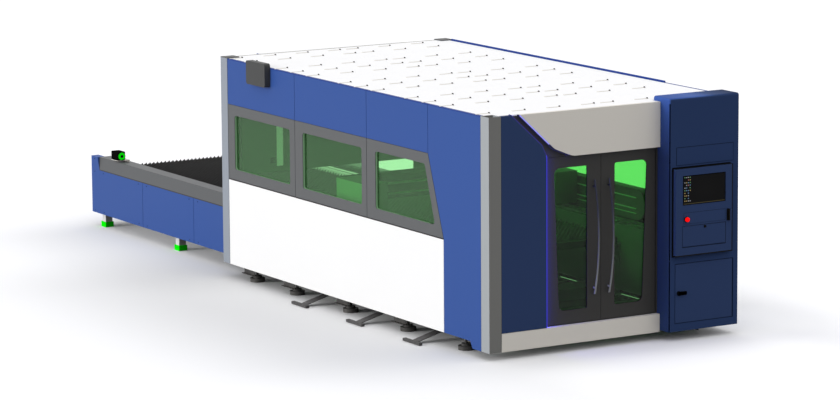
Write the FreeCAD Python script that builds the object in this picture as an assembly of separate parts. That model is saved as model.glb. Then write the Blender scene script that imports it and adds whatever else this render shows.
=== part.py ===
import FreeCAD, Part
import math
import os

Vector = FreeCAD.Vector

# Sizes in millimetres. The layout is measured from the cabin's front left corner on the floor:
# X to the right along the front, Y back along the machine, Z up.

# Cabin
CABIN_WIDTH = 2642.0
CABIN_LENGTH = 5063.0
CABIN_MIDDLE = CABIN_WIDTH / 2
ROOF_TOP = 2225.0
ROOF_THICKNESS = 10.0
PANEL_BOTTOM = 140.0
SKIRT_BOTTOM = 75.0
BAND_BOTTOM = 1012.0
BAND_TOP = 1771.0
PANEL_DEPTH = 33.0
SHEET = 3.0
SEAM = 3.0
UPPER_SEAMS = (1053.0, 2172.0, 3556.0)
BAND_FRONT = 784.0
SKIRT_STEP = (290.0, 330.0)
FRONT_POST = (129.0, 138.0)
REAR_POST_Y = (4929.0, CABIN_LENGTH)
REAR_POST_X = (-3.0, 140.0)
POST_WALL = 4.0
POST_CAP = 10.0
TUBE = 80.0
TUBE_WALL = 5.0
BASE_RAIL_X = (PANEL_DEPTH + TUBE, 230.0)
BASE_RAIL_Z = (PANEL_BOTTOM, 260.0)

# Windows of a long side, as (Y, Z) outlines with corner radii
WINDOW_RADIUS = 30.0
WINDOW_Z = (1120.0, 1666.0)
REAR_WINDOW_Y = (3660.0, 4791.0)
MIDDLE_WINDOW_Y = (2267.0, 3404.0)
FRONT_WINDOW_REAR = 2010.0
FRONT_WINDOW_SLANT = (934.0, 1114.0)
WINDOW_JAMB = 22.0
PANE = 6.0
PANE_OVERLAP = 15.0

# Roof
ROOF_GROOVE = (3.0, 3.0)
ROOF_SEAMS_Y = (545.0, 1787.0, 3029.0, 4271.0)
ROOF_SEAM_X = 1385.0
ROOF_LIP = (15.0, 15.0)
CLIP_COLUMNS = (150.0, 530.0, 905.0, 1280.0, 1490.0, 1868.0, 2262.0)
CLIP_FIRST_ROW = 855.0
CLIP_GROUP = 1242.0
CLIP_PITCH = 311.0
CLIP_BAR = (140.0, 18.0, 4.0)
CLIP_HEAD = (10.0, 12.0)

# Sign box on the upper left edge
SIGN_FRONT = -64.0
SIGN_Y = (4038.0, 4420.0)
SIGN_Z = (2036.0, 2270.0)
SIGN_RADIUS = 25.0

# Front wall
FRONT_DEPTH = 44.0
SILL_Z = (SKIRT_BOTTOM, 245.0)
SILL_DEPTH = 132.0
FRONT_PANEL_RIGHT = 613.0
FRONT_SHOULDER = ((613.0, 1819.0), (565.0, 1924.0), (234.0, 2222.0))
VISOR_EDGE = ((333.0, 2221.0), (704.0, 1884.0), (895.0, 1805.0))
VISOR_RIGHT = 1856.0
STRIP_WIDTH = 10.0
VISOR_STRIP_END = 0.75
STRIP_Y = (6.0, FRONT_DEPTH)

# Front doors, mirrored about their seam
DOOR_SEAM = 1236.0
DOOR_HINGE_SIDE = 628.0
DOOR_GAP = 1.5
DOOR_Y = (50.0, 90.0)
DOOR_Z = (253.0, 1800.0)
DOOR_CORNER = 15.0
DOOR_WINDOW = ((778.0, 375.0, 60.0), (1086.0, 375.0, 20.0), (1086.0, 1695.0, 20.0), (726.0, 1695.0, 60.0))
DOOR_PANE_Y = (62.0, 70.0)
PIN_RADIUS = 8.0
PIN_CLEARANCE = 0.05
PIN_DEPTH = 60.0
DOOR_FRAME_X = (560.0, VISOR_RIGHT)
HEADER_LEFT = 250.0
DOORWAY_X = (625.0, 1847.0)
DOORWAY_Z = (250.0, 1803.0)
DOOR_STOP_Y = (93.0, 98.0)
DOOR_STOP_WIDTH = 20.0
HANDLE_X = 1156.0
HANDLE_Z = (500.0, 1558.0)
HANDLE_BOW = 70.0
HANDLE_FRONT = -40.0
HANDLE_RADIUS = 9.0
HANDLE_STANDOFF = (470.0, 8.0)

# Console column at the front right
CONSOLE_X = (1859.0, CABIN_WIDTH)
CONSOLE_FRONT = -147.0
CONSOLE_BACK = 138.0
CONSOLE_Z = (92.0, 2267.0)
CONSOLE_HOOD_BACK = 110.0
CONSOLE_ROUNDING = 22.0
CONSOLE_SHELF_Z = (757.0, 760.0)
NOTICE_X = (1938.0, 2569.0)
NOTICE_Z = (1645.0, 1805.0)
MODULE_X = (1895.0, 2535.0)
MODULE_Y = (-197.0, -100.0)
MODULE_Z = (800.0, 1618.0)
MODULE_WALL = 4.0
SCREEN_X = (1981.0, 2445.0)
SCREEN_Z = (1284.0, 1543.0)
SCREEN_Y = (-195.5, -178.0)
STRIP_PANEL_X = (1985.0, 2452.0)
STRIP_PANEL_Z = (1100.0, 1205.0)
STRIP_PANEL_PROUD = 1.5
STOP_BUTTON = (2014.0, 1144.0)
STOP_RING = (27.0, 2.5)
STOP_HEAD_RADIUS = 21.0
STOP_HEAD_Y = (-227.0, -207.0)
STOP_STEM_RADIUS = 8.0
STOP_STEM_BACK = -170.0
PULL_X = (2478.0, 2505.0)
PULL_Z = (1094.0, 1202.0)
PULL_DEPTH = 25.0
FLAP_X = (1974.0, 2453.0)
FLAP_Z = (885.0, 1078.0)
FLAP_THICKNESS = 16.0
FLAP_GAP = 2.0
FLAP_PIN = (3.0, 8.0)
KNOB = (2223.0, 1061.0, 8.0, 14.0)
KEYBOARD_X = (2000.0, 2427.0)
KEYBOARD_Z = (910.0, 1050.0)
KEYBOARD_THICKNESS = 20.0
KEY_ROWS = 5
KEY_COLUMNS = 14
KEY_HEIGHT = 4.0
KEY_GAP = 3.0
LOWER_DOOR_X = (1928.0, 2573.0)
LOWER_DOOR_Z = (172.0, 720.0)
LOWER_DOOR_THICKNESS = 20.0
LOWER_DOOR_GAP = 3.0
LATCH_X = (1945.0, 2044.0)
LATCH_Z = (430.0, 470.0)
LATCH_PROUD = 22.0
LATCH_SHAFT = 6.0
LATCH_CAM = (14.0, 45.0, 4.0)

# Bed, rails and drawers
BED_CROSS_FRONT = 570.0
BED_BEAM_X = (250.0, 420.0)
BED_BEAM_Y = (BED_CROSS_FRONT, 4950.0)
BED_BEAM_Z = (240.0, 880.0)
BED_WALL = 12.0
BED_CROSS_Y = ((BED_CROSS_FRONT, 722.0), (1482.0, 1784.0), (2536.0, 2849.0), (3601.0, 3760.0),
               (4500.0, 4600.0))
BED_CROSS_Z = (PANEL_BOTTOM, BED_BEAM_Z[0])
Y_RAIL_X = (318.0, 352.0)
Y_RAIL_HEIGHT = 35.0
Y_RAIL_Y = (620.0, 4930.0)
RACK_X = (372.0, 396.0)
RACK_HEIGHT = 25.0
DRAWER_MIDDLES = (1106.0, 2160.0, 3225.0)
DRAWER_X = (480.0, 2300.0)
DRAWER_HALF = 380.0
DRAWER_Z = (26.3, 132.0)
DRAWER_WALL = 2.5
RUNNER_X = (520.0, 2300.0)
RUNNER_GAP = 8.0
RUNNER_PLATE = 8.0
RUNNER_LEDGE = 33.0
RUNNER_Z = (18.0, 26.0)
T_BAR_X = (-165.0, -129.0)
T_BAR_Z = (4.0, 28.0)
T_BAR_Y = ((958.0, 1254.0), (2014.0, 2306.0), (3080.0, 3369.0))
T_ROD_Y = (1089.0, 2132.0, 3188.0)
T_ROD = (100.0, 8.0)
T_ROD_BEND = 180.0
T_ROD_SLOPE = math.tan(math.radians(15.0))

# Leveling feet
FOOT_X = 125.0
FOOT_Y = (603.0, 1637.0, 2715.0, 3768.0, 4583.0)
FOOT_DISC = (75.0, 38.0)
FOOT_HUB = (45.0, 60.0)
FOOT_STUD = 14.0
BRACKET_Y = (-100.0, 120.0)
BRACKET_X = (10.0, 40.0, 150.0)
BRACKET_LOW = 78.0
BRACKET_SHEET = 6.0

# Gantry, carriage and head
BEAM_X = (300.0, 2342.0)
BEAM_Y = (3040.0, 3270.0)
BEAM_Z = (1000.0, 1232.0)
TRUCK_Y = (2640.0, 3140.0)
TRUCK_Z = (925.0, 1000.0)
TRUCK_X = (300.0, 470.0)
BLOCK_X = (300.0, 370.0)
BLOCK_LENGTH = 110.0
SLIDE_CLEARANCE = 0.3
COVER_SHELL = 3.0
COVER_X = (232.0, 486.0)
COVER_FRONTS = (2600.0, 2230.0)
COVER_REAR = 3150.0
COVER_Z = (925.0, 1241.0)
COVER_GAP = 2.0
X_RAIL_X = (496.0, 2146.0)
X_RAIL_Z = ((1040.0, 1060.0), (1142.0, 1162.0))
X_RAIL_DEPTH = 15.0
CARRIAGE_X = (1221.0, 1421.0)
CARRIAGE_Y = (2980.0, 3002.0)
CARRIAGE_Z = (970.0, 1330.0)
Z_RAIL_WIDTH = 40.0
Z_RAIL_DEPTH = 12.0
HEAD_HALF = 60.0
HEAD_Y = (2890.0, 2979.0)
HEAD_Z = (990.0, 1380.0)
HEAD_TUBE = (35.0, 950.0)
NOZZLE = (6.0, 905.0)
HEAD_AXIS_Y = 2928.0

# Covered duct of the cable chain, along the right-hand wall
DUCT_X = (2430.0, 2529.0)
DUCT_Y = (1090.0, 4800.0)
DUCT_Z = (890.0, 1190.0)
DUCT_ROUNDING = 140.0
DUCT_RIB_PROUD = 6.0
DUCT_RIBS_Z = ((952.0, 960.0), (996.0, 1008.0), (1102.0, 1114.0))

# Pallets: the same frame twice, the outer one a level lower
PALLET_X = (441.0, 2201.0)
PALLET_LENGTH = 3160.0
PALLET_TUBE = 60.0
INNER_PALLET_FRONT = 1240.0
PALLET_TRAVEL = 3905.0
UPPER_LEVEL = 800.0
LEVEL_STEP = 125.0
PALLET_DEPTH = 111.7
SLAT_PROUD = 50.0
SLAT_LIFT = 30.0
SLAT_THICKNESS = 6.0
SLAT_COUNT = 53
LEDGE = 8.0
LEDGE_X = 475.0
WEB_X = (425.0, 435.0)
WEB_Z = (480.0, 700.0)
BED_RAILS_Y = (1190.0, 5058.0)
TABLE_RAILS_Y = (5092.0, 8330.0)

# Rear wall with the pallet opening, gate and its housing
REAR_WALL_X = (143.0, 2499.0)
REAR_OPENING_X = (400.0, 2242.0)
REAR_OPENING_Z = (470.0, 1010.0)
GATE_X = (374.0, 2268.0)
GATE_Y = (5070.0, 5082.0)
GATE_Z = (1015.0, 1575.0)
GUIDE_X = (360.0, 380.0)
GUIDE_Y = (5063.0, 5090.0)
GUIDE_Z = (440.0, 1010.0)
HOUSING_Y = (CABIN_LENGTH, 5135.0)
HOUSING_OUTLINE = ((360.0, 1010.0), (2282.0, 1010.0), (2282.0, 1650.0), (2152.0, 1800.0),
                   (2152.0, ROOF_TOP), (448.0, ROOF_TOP), (448.0, 1800.0), (360.0, 1650.0))

# Exchange table
TABLE_SIDE = 215.0
TABLE_START = 5070.0
TABLE_END = 8501.0
TABLE_Z = (146.0, 623.0)
TABLE_PANEL_DEPTH = 40.0
TABLE_SEAMS = (6123.0, 7286.0)
END_SEAM = 0.5
END_COVER_FRONT = 8350.0
END_COVER_TOP = 560.0
END_CORNER_WIDTH = 85.0
END_NOTCH = ((8310.0, 621.0), (END_COVER_FRONT, 763.0))
GUARD_RIDGE = 763.0
GUARD_LEAN = 23.0
GUARD_INNER = 388.0
GUARD_LIP = 25.0
LEG_X = (255.0, 335.0)
LEG_MIDDLES = (6575.0, 8301.0)
FRONT_CROSS = 5210.0
LEG_WIDTH = 80.0
LEG_TOP = 480.0
CROSS_HEIGHT = 80.0
GREEN_FOOT = (95.0, 110.0, 57.0)
SENSOR_X = (212.0, 312.0)
SENSOR_Y = (7864.0, 8014.0)
SENSOR_Z = (785.0, 878.0)
SENSOR_LENS = (262.0, 831.0, 44.0, 14.0)
SENSOR_BRACKET = 4.0

# The origin lies on the floor, under the middle of the whole machine
LOWEST_X = T_BAR_X[0]
HIGHEST_X = CABIN_WIDTH - REAR_POST_X[0]
LOWEST_Y = STOP_HEAD_Y[0]
ORIGIN = Vector((LOWEST_X + HIGHEST_X) / 2, (LOWEST_Y + TABLE_END) / 2, 0.0)


def box(x, y, z):
    """A block between the low and high values of each axis."""
    return Part.makeBox(x[1] - x[0], y[1] - y[0], z[1] - z[0], Vector(x[0], y[0], z[0]))


def rod(start, end, radius):
    """A round rod from one point to another."""
    first = Vector(*start)
    run = Vector(*end) - first
    return Part.makeCylinder(radius, run.Length, first, run)


def tube(x, y, z, axis, wall):
    """A rectangular tube, open at both ends of its axis."""
    inner = []
    for name, (low, high) in zip("XYZ", (x, y, z)):
        inner.append((low - wall, high + wall) if name == axis else (low + wall, high - wall))
    return box(x, y, z).cut(box(*inner))


def placed(axis, a, b, along):
    """A flat point put in space: a and b are the two axes other than the given one."""
    return {"X": Vector(along, a, b), "Y": Vector(a, along, b), "Z": Vector(a, b, along)}[axis]


def rectangle(a, b, radius=0.0):
    return [(a[0], b[0], radius), (a[1], b[0], radius), (a[1], b[1], radius), (a[0], b[1], radius)]


def inset(points, distance):
    """The outline moved inwards by a distance; its corner radii shrink with it."""
    corners = [Vector(point[0], point[1], 0.0) for point in points]
    doubled_area = sum(corners[i - 1].x * corners[i].y - corners[i].x * corners[i - 1].y
                       for i in range(len(corners)))
    side = math.copysign(1.0, doubled_area)
    moved = []
    for i, corner in enumerate(corners):
        arriving = (corner - corners[i - 1]).normalize()
        leaving = (corners[(i + 1) % len(corners)] - corner).normalize()
        before = Vector(-arriving.y, arriving.x, 0.0) * side
        after = Vector(-leaving.y, leaving.x, 0.0) * side
        corner = corner + (before + after) * (distance / (1.0 + before.dot(after)))
        radius = points[i][2] if len(points[i]) > 2 else 0.0
        moved.append((corner.x, corner.y, max(radius - distance, 0.0) if radius else 0.0))
    return moved


def prism(axis, span, points):
    """A straight block of an outline; a point's third value is the radius of its corner."""
    corners = [Vector(point[0], point[1], 0.0) for point in points]
    bends = []
    for i, corner in enumerate(corners):
        radius = points[i][2] if len(points[i]) > 2 else 0.0
        if radius <= 0.0:
            bends.append((corner, None, corner))
            continue
        back = (corners[i - 1] - corner).normalize()
        ahead = (corners[(i + 1) % len(corners)] - corner).normalize()
        half = back.getAngle(ahead) / 2
        inward = (back + ahead).normalize()
        reach = radius / math.tan(half)
        middle = corner + inward * (radius / math.sin(half) - radius)
        bends.append((corner + back * reach, middle, corner + ahead * reach))
    edges = []
    for i, (first, middle, last) in enumerate(bends):
        start = placed(axis, bends[i - 1][2].x, bends[i - 1][2].y, span[0])
        end = placed(axis, first.x, first.y, span[0])
        if start.distanceToPoint(end) > 1e-6:
            edges.append(Part.LineSegment(start, end).toShape())
        if middle is not None:
            through = placed(axis, middle.x, middle.y, span[0])
            finish = placed(axis, last.x, last.y, span[0])
            edges.append(Part.Arc(end, through, finish).toShape())
    face = Part.Face(Part.Wire(edges))
    return face.extrude(placed(axis, 0.0, 0.0, span[1] - span[0]))


def tray(axis, span, points, wall, closed="low"):
    """A folded sheet: an outline closed on one side of the axis, with edges turned back."""
    step = wall if closed == "low" else -wall
    hollow = prism(axis, (span[0] + step, span[1] + step), inset(points, wall))
    return prism(axis, span, points).cut(hollow)


def weld(*pieces):
    """Pieces joined into one solid."""
    return pieces[0].multiFuse(list(pieces[1:])).removeSplitter()


def group(*pieces):
    """Pieces kept apart, in one node."""
    return Part.makeCompound([solid for piece in pieces for solid in piece.Solids])


def mirrored(piece, plane=CABIN_MIDDLE):
    return piece.mirror(Vector(plane, 0.0, 0.0), Vector(1.0, 0.0, 0.0))


def both_sides(piece):
    return group(piece, mirrored(piece))


def grown(span, amount):
    return (span[0] - amount, span[1] + amount)


# ---------------------------------------------------------------- cabin

def slant_y(z):
    """Y of the slanted front end of the window band at a height."""
    share = (z - BAND_BOTTOM) / (BAND_TOP - BAND_BOTTOM)
    return BAND_FRONT + share * (UPPER_SEAMS[0] - BAND_FRONT)


def upper_panels():
    ends = UPPER_SEAMS + (REAR_POST_Y[0],)
    panels = []
    for front, rear in zip(ends, ends[1:]):
        outline = rectangle((front + SEAM, rear - SEAM), (BAND_TOP, ROOF_TOP))
        panels.append(tray("X", (0.0, PANEL_DEPTH), outline, SHEET))
    return group(*panels)


def left_front_panel():
    outline = [(FRONT_POST[1] + SEAM, SKIRT_BOTTOM), (SKIRT_STEP[0], SKIRT_BOTTOM),
               (SKIRT_STEP[1], PANEL_BOTTOM), (BAND_FRONT - SEAM, PANEL_BOTTOM),
               (BAND_FRONT - SEAM, BAND_BOTTOM), (UPPER_SEAMS[0] - SEAM, BAND_TOP),
               (UPPER_SEAMS[0] - SEAM, ROOF_TOP), (FRONT_POST[1] + SEAM, ROOF_TOP)]
    return tray("X", (0.0, PANEL_DEPTH), outline, SHEET)


def right_front_panel():
    return mirrored(left_front_panel())


def lower_panel():
    outline = rectangle((BAND_FRONT + SEAM, REAR_POST_Y[0] - SEAM), (PANEL_BOTTOM, BAND_BOTTOM - SEAM))
    return tray("X", (0.0, PANEL_DEPTH), outline, SHEET)


def band_outlines():
    """The three frames of the window band and their windows, front to rear."""
    low = BAND_BOTTOM + SEAM
    high = BAND_TOP - SEAM
    front = [(slant_y(low) + SEAM, low), (UPPER_SEAMS[1] - SEAM, low), (UPPER_SEAMS[1] - SEAM, high),
             (slant_y(high) + SEAM, high)]
    middle = rectangle((UPPER_SEAMS[1] + SEAM, UPPER_SEAMS[2] - SEAM), (low, high))
    rear = rectangle((UPPER_SEAMS[2] + SEAM, REAR_POST_Y[0] - SEAM), (low, high))
    slanted = [(FRONT_WINDOW_SLANT[0], WINDOW_Z[0], WINDOW_RADIUS),
               (FRONT_WINDOW_REAR, WINDOW_Z[0], WINDOW_RADIUS),
               (FRONT_WINDOW_REAR, WINDOW_Z[1], WINDOW_RADIUS),
               (FRONT_WINDOW_SLANT[1], WINDOW_Z[1], WINDOW_RADIUS)]
    windows = [slanted, rectangle(MIDDLE_WINDOW_Y, WINDOW_Z, WINDOW_RADIUS),
               rectangle(REAR_WINDOW_Y, WINDOW_Z, WINDOW_RADIUS)]
    return list(zip((front, middle, rear), windows))


def window_frames():
    """Folded sheets, each with a jamb turned in round its window."""
    frames = []
    for outline, window in band_outlines():
        sheet = tray("X", (0.0, PANEL_DEPTH), outline, SHEET)
        jamb = prism("X", (0.0, WINDOW_JAMB), inset(window, -SHEET))
        frames.append(weld(sheet, jamb).cut(prism("X", (-SHEET, PANEL_DEPTH), window)))
    return group(*frames)


def window_panes():
    """Panes set against the inner ends of the jambs."""
    span = (WINDOW_JAMB, WINDOW_JAMB + PANE)
    return group(*[prism("X", span, inset(window, -PANE_OVERLAP)) for _, window in band_outlines()])


def right_upper_panels():
    lip_x = (CABIN_WIDTH - ROOF_LIP[0], CABIN_WIDTH)
    panels = []
    for panel in mirrored(upper_panels()).Solids:
        bounds = panel.BoundBox
        lip = box(lip_x, (bounds.YMin, bounds.YMax), (ROOF_TOP - SHEET, ROOF_TOP + ROOF_LIP[1]))
        panels.append(weld(panel, lip))
    return group(*panels)


def front_left_post():
    x = (0.0, FRONT_POST[0])
    y = (0.0, FRONT_POST[1])
    return tube(x, y, (SKIRT_BOTTOM, ROOF_TOP), "Z", POST_WALL)


def rear_posts():
    post = tube(REAR_POST_X, REAR_POST_Y, (PANEL_BOTTOM, ROOF_TOP), "Z", POST_WALL)
    cap = box(REAR_POST_X, REAR_POST_Y, (ROOF_TOP, ROOF_TOP + POST_CAP))
    return both_sides(weld(post, cap))


def cabin_frame():
    """Base rails, uprights, top rails and roof beams: square tubes set end to face."""
    upright_x = (PANEL_DEPTH, PANEL_DEPTH + TUBE)
    top_z = (ROOF_TOP - ROOF_THICKNESS - TUBE, ROOF_TOP - ROOF_THICKNESS)
    ends = (FRONT_POST[1] + SEAM, REAR_POST_Y[0] - SEAM)
    stations = [(ends[0], ends[0] + TUBE)]
    stations += [(seam - TUBE / 2, seam + TUBE / 2) for seam in UPPER_SEAMS[1:]]
    stations.append((ends[1] - TUBE, ends[1]))
    side = [tube(BASE_RAIL_X, ends, BASE_RAIL_Z, "Y", TUBE_WALL),
            tube(upright_x, ends, top_z, "Y", TUBE_WALL)]
    side += [tube(upright_x, station, (PANEL_BOTTOM, top_z[0]), "Z", TUBE_WALL) for station in stations]
    half = group(*side)
    across_top = (upright_x[1], CABIN_WIDTH - upright_x[1])
    across_base = (BASE_RAIL_X[1], CABIN_WIDTH - BASE_RAIL_X[1])
    beams = [tube(across_top, station, top_z, "X", TUBE_WALL) for station in stations]
    beams += [tube(across_base, station, (PANEL_BOTTOM, PANEL_BOTTOM + TUBE), "X", TUBE_WALL)
              for station in (stations[0], stations[-1])]
    return group(half, mirrored(half), *beams)


def roof_panel():
    """The roof sheet, notched round the console, with grooves along its seams."""
    notch = CONSOLE_BACK + SEAM
    outline = [(SHEET, 0.0), (CONSOLE_X[0] - SEAM, 0.0), (CONSOLE_X[0] - SEAM, notch),
               (CABIN_WIDTH - SHEET, notch), (CABIN_WIDTH - SHEET, REAR_POST_Y[0] - SEAM),
               (REAR_WALL_X[1], REAR_POST_Y[0] - SEAM), (REAR_WALL_X[1], CABIN_LENGTH),
               (REAR_WALL_X[0], CABIN_LENGTH), (REAR_WALL_X[0], REAR_POST_Y[0] - SEAM),
               (SHEET, REAR_POST_Y[0] - SEAM)]
    roof = prism("Z", (ROOF_TOP - ROOF_THICKNESS, ROOF_TOP), outline)
    roof = roof.cut(folded_edges())
    width, depth = ROOF_GROOVE
    groove_z = (ROOF_TOP - depth, ROOF_TOP)
    grooves = [box((0.0, CABIN_WIDTH), grown((seam, seam), width / 2), groove_z) for seam in ROOF_SEAMS_Y]
    middle = (ROOF_SEAM_X - width / 2, ROOF_SEAM_X + width / 2)
    grooves.append(box(middle, (-SEAM, CABIN_LENGTH), groove_z))
    return roof.cut(Part.makeCompound(grooves))


def folded_edges():
    """The strips along both long sides that belong to the folded panels and the front left post."""
    side = box((0.0, PANEL_DEPTH), (0.0, REAR_POST_Y[0]), (0.0, ROOF_TOP))
    post = box((0.0, FRONT_POST[0]), (0.0, FRONT_POST[1]), (0.0, ROOF_TOP))
    front = box((0.0, CONSOLE_X[0]), (0.0, FRONT_DEPTH), (0.0, ROOF_TOP))
    return side.multiFuse([mirrored(side), post, front])


def clip_rows():
    rows = []
    first_group = -1
    for group_number in range(first_group, 4):
        for place in range(3):
            row = CLIP_FIRST_ROW + CLIP_GROUP * group_number + CLIP_PITCH * place
            if CONSOLE_BACK < row < CABIN_LENGTH - CLIP_PITCH / 2:
                rows.append(row)
    return rows


def roof_clips():
    length, width, height = CLIP_BAR
    radius, head_height = CLIP_HEAD
    hexagon = [(radius * math.cos(math.radians(60 * k)), radius * math.sin(math.radians(60 * k)))
               for k in range(6)]
    clips = []
    for column in CLIP_COLUMNS:
        for row in clip_rows():
            bar_x = (max(column - length, PANEL_DEPTH), column)
            bar = box(bar_x, (row - width / 2, row + width / 2), (ROOF_TOP, ROOF_TOP + height))
            head = prism("Z", (ROOF_TOP, ROOF_TOP + head_height), [(column + a, row + b) for a, b in hexagon])
            clips.append(bar.fuse(head))
    return group(*clips)


def sign_box():
    return tray("X", (SIGN_FRONT, 0.0), rectangle(SIGN_Y, SIGN_Z, SIGN_RADIUS), SHEET)


# ---------------------------------------------------------------- front wall and doors

def front_panel():
    left = FRONT_POST[0] + SEAM
    low = SILL_Z[1] + SEAM
    edge, shoulder, top = FRONT_SHOULDER
    outline = [(left, low), (FRONT_PANEL_RIGHT, low), (edge[0], edge[1], 60.0),
               (shoulder[0], shoulder[1], 60.0), (top[0], ROOF_TOP), (left, ROOF_TOP)]
    return tray("Y", (0.0, FRONT_DEPTH), outline, SHEET)


def visor():
    top, bend, lower = VISOR_EDGE
    outline = [(top[0], ROOF_TOP), (bend[0], bend[1], 120.0), (lower[0], lower[1], 200.0),
               (VISOR_RIGHT, lower[1]), (VISOR_RIGHT, ROOF_TOP)]
    return tray("Y", (0.0, FRONT_DEPTH), outline, SHEET)


def sill():
    outer = box((FRONT_POST[0] + SEAM, VISOR_RIGHT), (0.0, SILL_DEPTH), SILL_Z)
    x = grown((FRONT_POST[0] + SEAM, VISOR_RIGHT), -SHEET)
    return outer.cut(box(x, (SHEET, SILL_DEPTH + SHEET), grown(SILL_Z, -SHEET)))


def light_strip():
    """Two light bars: up the front panel's edge and shoulder, and down the visor's slanted edge."""
    edge, shoulder, top = FRONT_SHOULDER
    low = SILL_Z[1] + SEAM
    inner = [(FRONT_PANEL_RIGHT, low), (edge[0], edge[1]), (shoulder[0], shoulder[1]), (top[0], ROOF_TOP)]
    first = band(inner, STRIP_WIDTH, (60.0, 60.0))
    start, bend, lower = VISOR_EDGE
    end = [a + (b - a) * VISOR_STRIP_END for a, b in zip(bend, lower)]
    second = band([(start[0], ROOF_TOP), bend, end], STRIP_WIDTH, (120.0,))
    return group(prism("Y", STRIP_Y, first), prism("Y", STRIP_Y, second))


def band(line, width, radii):
    """The outline of a bar of one width along an open line, on the right of its direction."""
    corners = [Vector(a, b, 0.0) for a, b in line]
    shifted = []
    for i, corner in enumerate(corners):
        arriving = (corner - corners[i - 1]).normalize() if i else (corners[1] - corner).normalize()
        leaving = (corners[i + 1] - corner).normalize() if i + 1 < len(corners) else arriving
        before = Vector(arriving.y, -arriving.x, 0.0)
        after = Vector(leaving.y, -leaving.x, 0.0)
        shifted.append(corner + (before + after) * (width / (1.0 + before.dot(after))))
    bends = (0.0,) + tuple(radii) + (0.0,)
    near = [(corner.x, corner.y, bend) for corner, bend in zip(corners, bends)]
    far = [(corner.x, corner.y, bend) for corner, bend in zip(shifted, bends)]
    return near + far[::-1]


def pin_middle():
    return DOOR_HINGE_SIDE + DOOR_CORNER, DOOR_Y[0] + DOOR_CORNER


def door_frame():
    """Dark frame round the doorway with its wide header, the stop behind the leaves and the hinge pins."""
    depth = (FRONT_DEPTH, SILL_DEPTH)
    top = ROOF_TOP - ROOF_THICKNESS
    ring = box(DOOR_FRAME_X, depth, (SILL_Z[1] + 1.0, top))
    header = box((HEADER_LEFT, DOOR_FRAME_X[0]), depth, (DOORWAY_Z[1], top))
    ring = ring.cut(box(DOORWAY_X, (0.0, SILL_DEPTH + 1.0), DOORWAY_Z)).fuse(header)
    stop = box(DOORWAY_X, DOOR_STOP_Y, DOORWAY_Z)
    stop = stop.cut(box(grown(DOORWAY_X, -DOOR_STOP_WIDTH), grown(DOOR_STOP_Y, 1.0),
                        grown(DOORWAY_Z, -DOOR_STOP_WIDTH)))
    x, y = pin_middle()
    pins = []
    for middle in (x, 2 * DOOR_SEAM - x):
        pins.append(rod((middle, y, DOORWAY_Z[0] - 2.0), (middle, y, DOOR_Z[0] + PIN_DEPTH), PIN_RADIUS))
        pins.append(rod((middle, y, DOOR_Z[1] - PIN_DEPTH), (middle, y, DOORWAY_Z[1] + 2.0), PIN_RADIUS))
    return weld(ring, stop, *pins)


def front_door_left():
    hinge, seam = DOOR_HINGE_SIDE, DOOR_SEAM - DOOR_GAP
    outline = [(hinge, DOOR_Y[0], DOOR_CORNER), (seam, DOOR_Y[0], 3.0), (seam, DOOR_Y[1], 3.0),
               (hinge, DOOR_Y[1], DOOR_CORNER)]
    leaf = prism("Z", DOOR_Z, outline)
    window = prism("Y", (DOOR_Y[0] - 1.0, DOOR_Y[1] + 1.0), DOOR_WINDOW)
    rebate = prism("Y", (DOOR_PANE_Y[0], DOOR_Y[1] + 1.0), inset(DOOR_WINDOW, -PANE_OVERLAP))
    x, y = pin_middle()
    bore = PIN_RADIUS + PIN_CLEARANCE
    depth = PIN_DEPTH + 2.0
    low = rod((x, y, DOOR_Z[0] - 1.0), (x, y, DOOR_Z[0] + depth), bore)
    high = rod((x, y, DOOR_Z[1] - depth), (x, y, DOOR_Z[1] + 1.0), bore)
    return leaf.cut(window).cut(rebate).cut(low).cut(high)


def door_pane_left():
    return prism("Y", DOOR_PANE_Y, inset(DOOR_WINDOW, -PANE_OVERLAP))


def door_handle_left():
    """A round bar bowed outwards on two standoffs."""
    half = (HANDLE_Z[1] - HANDLE_Z[0]) / 2
    middle = (HANDLE_Z[1] + HANDLE_Z[0]) / 2
    bend = (half ** 2 + HANDLE_BOW ** 2) / (2 * HANDLE_BOW)
    centre = Vector(HANDLE_X, HANDLE_FRONT + bend, middle)
    angle = math.degrees(math.asin(half / bend))
    start = Vector(HANDLE_X, HANDLE_FRONT + HANDLE_BOW, HANDLE_Z[0])
    direction = Vector(0.0, half, bend - HANDLE_BOW).cross(Vector(1.0, 0.0, 0.0)).cross(Vector(1.0, 0.0, 0.0))
    disc = Part.Face(Part.Wire(Part.makeCircle(HANDLE_RADIUS, start, direction)))
    bar = disc.revolve(centre, Vector(1.0, 0.0, 0.0), -2 * angle)
    reach, radius = HANDLE_STANDOFF
    bar_y = centre.y - math.sqrt(bend ** 2 - reach ** 2)
    feet = [rod((HANDLE_X, bar_y, z), (HANDLE_X, DOOR_Y[0], z), radius)
            for z in (middle - reach, middle + reach)]
    return weld(bar, *feet)


# ---------------------------------------------------------------- console

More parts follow.
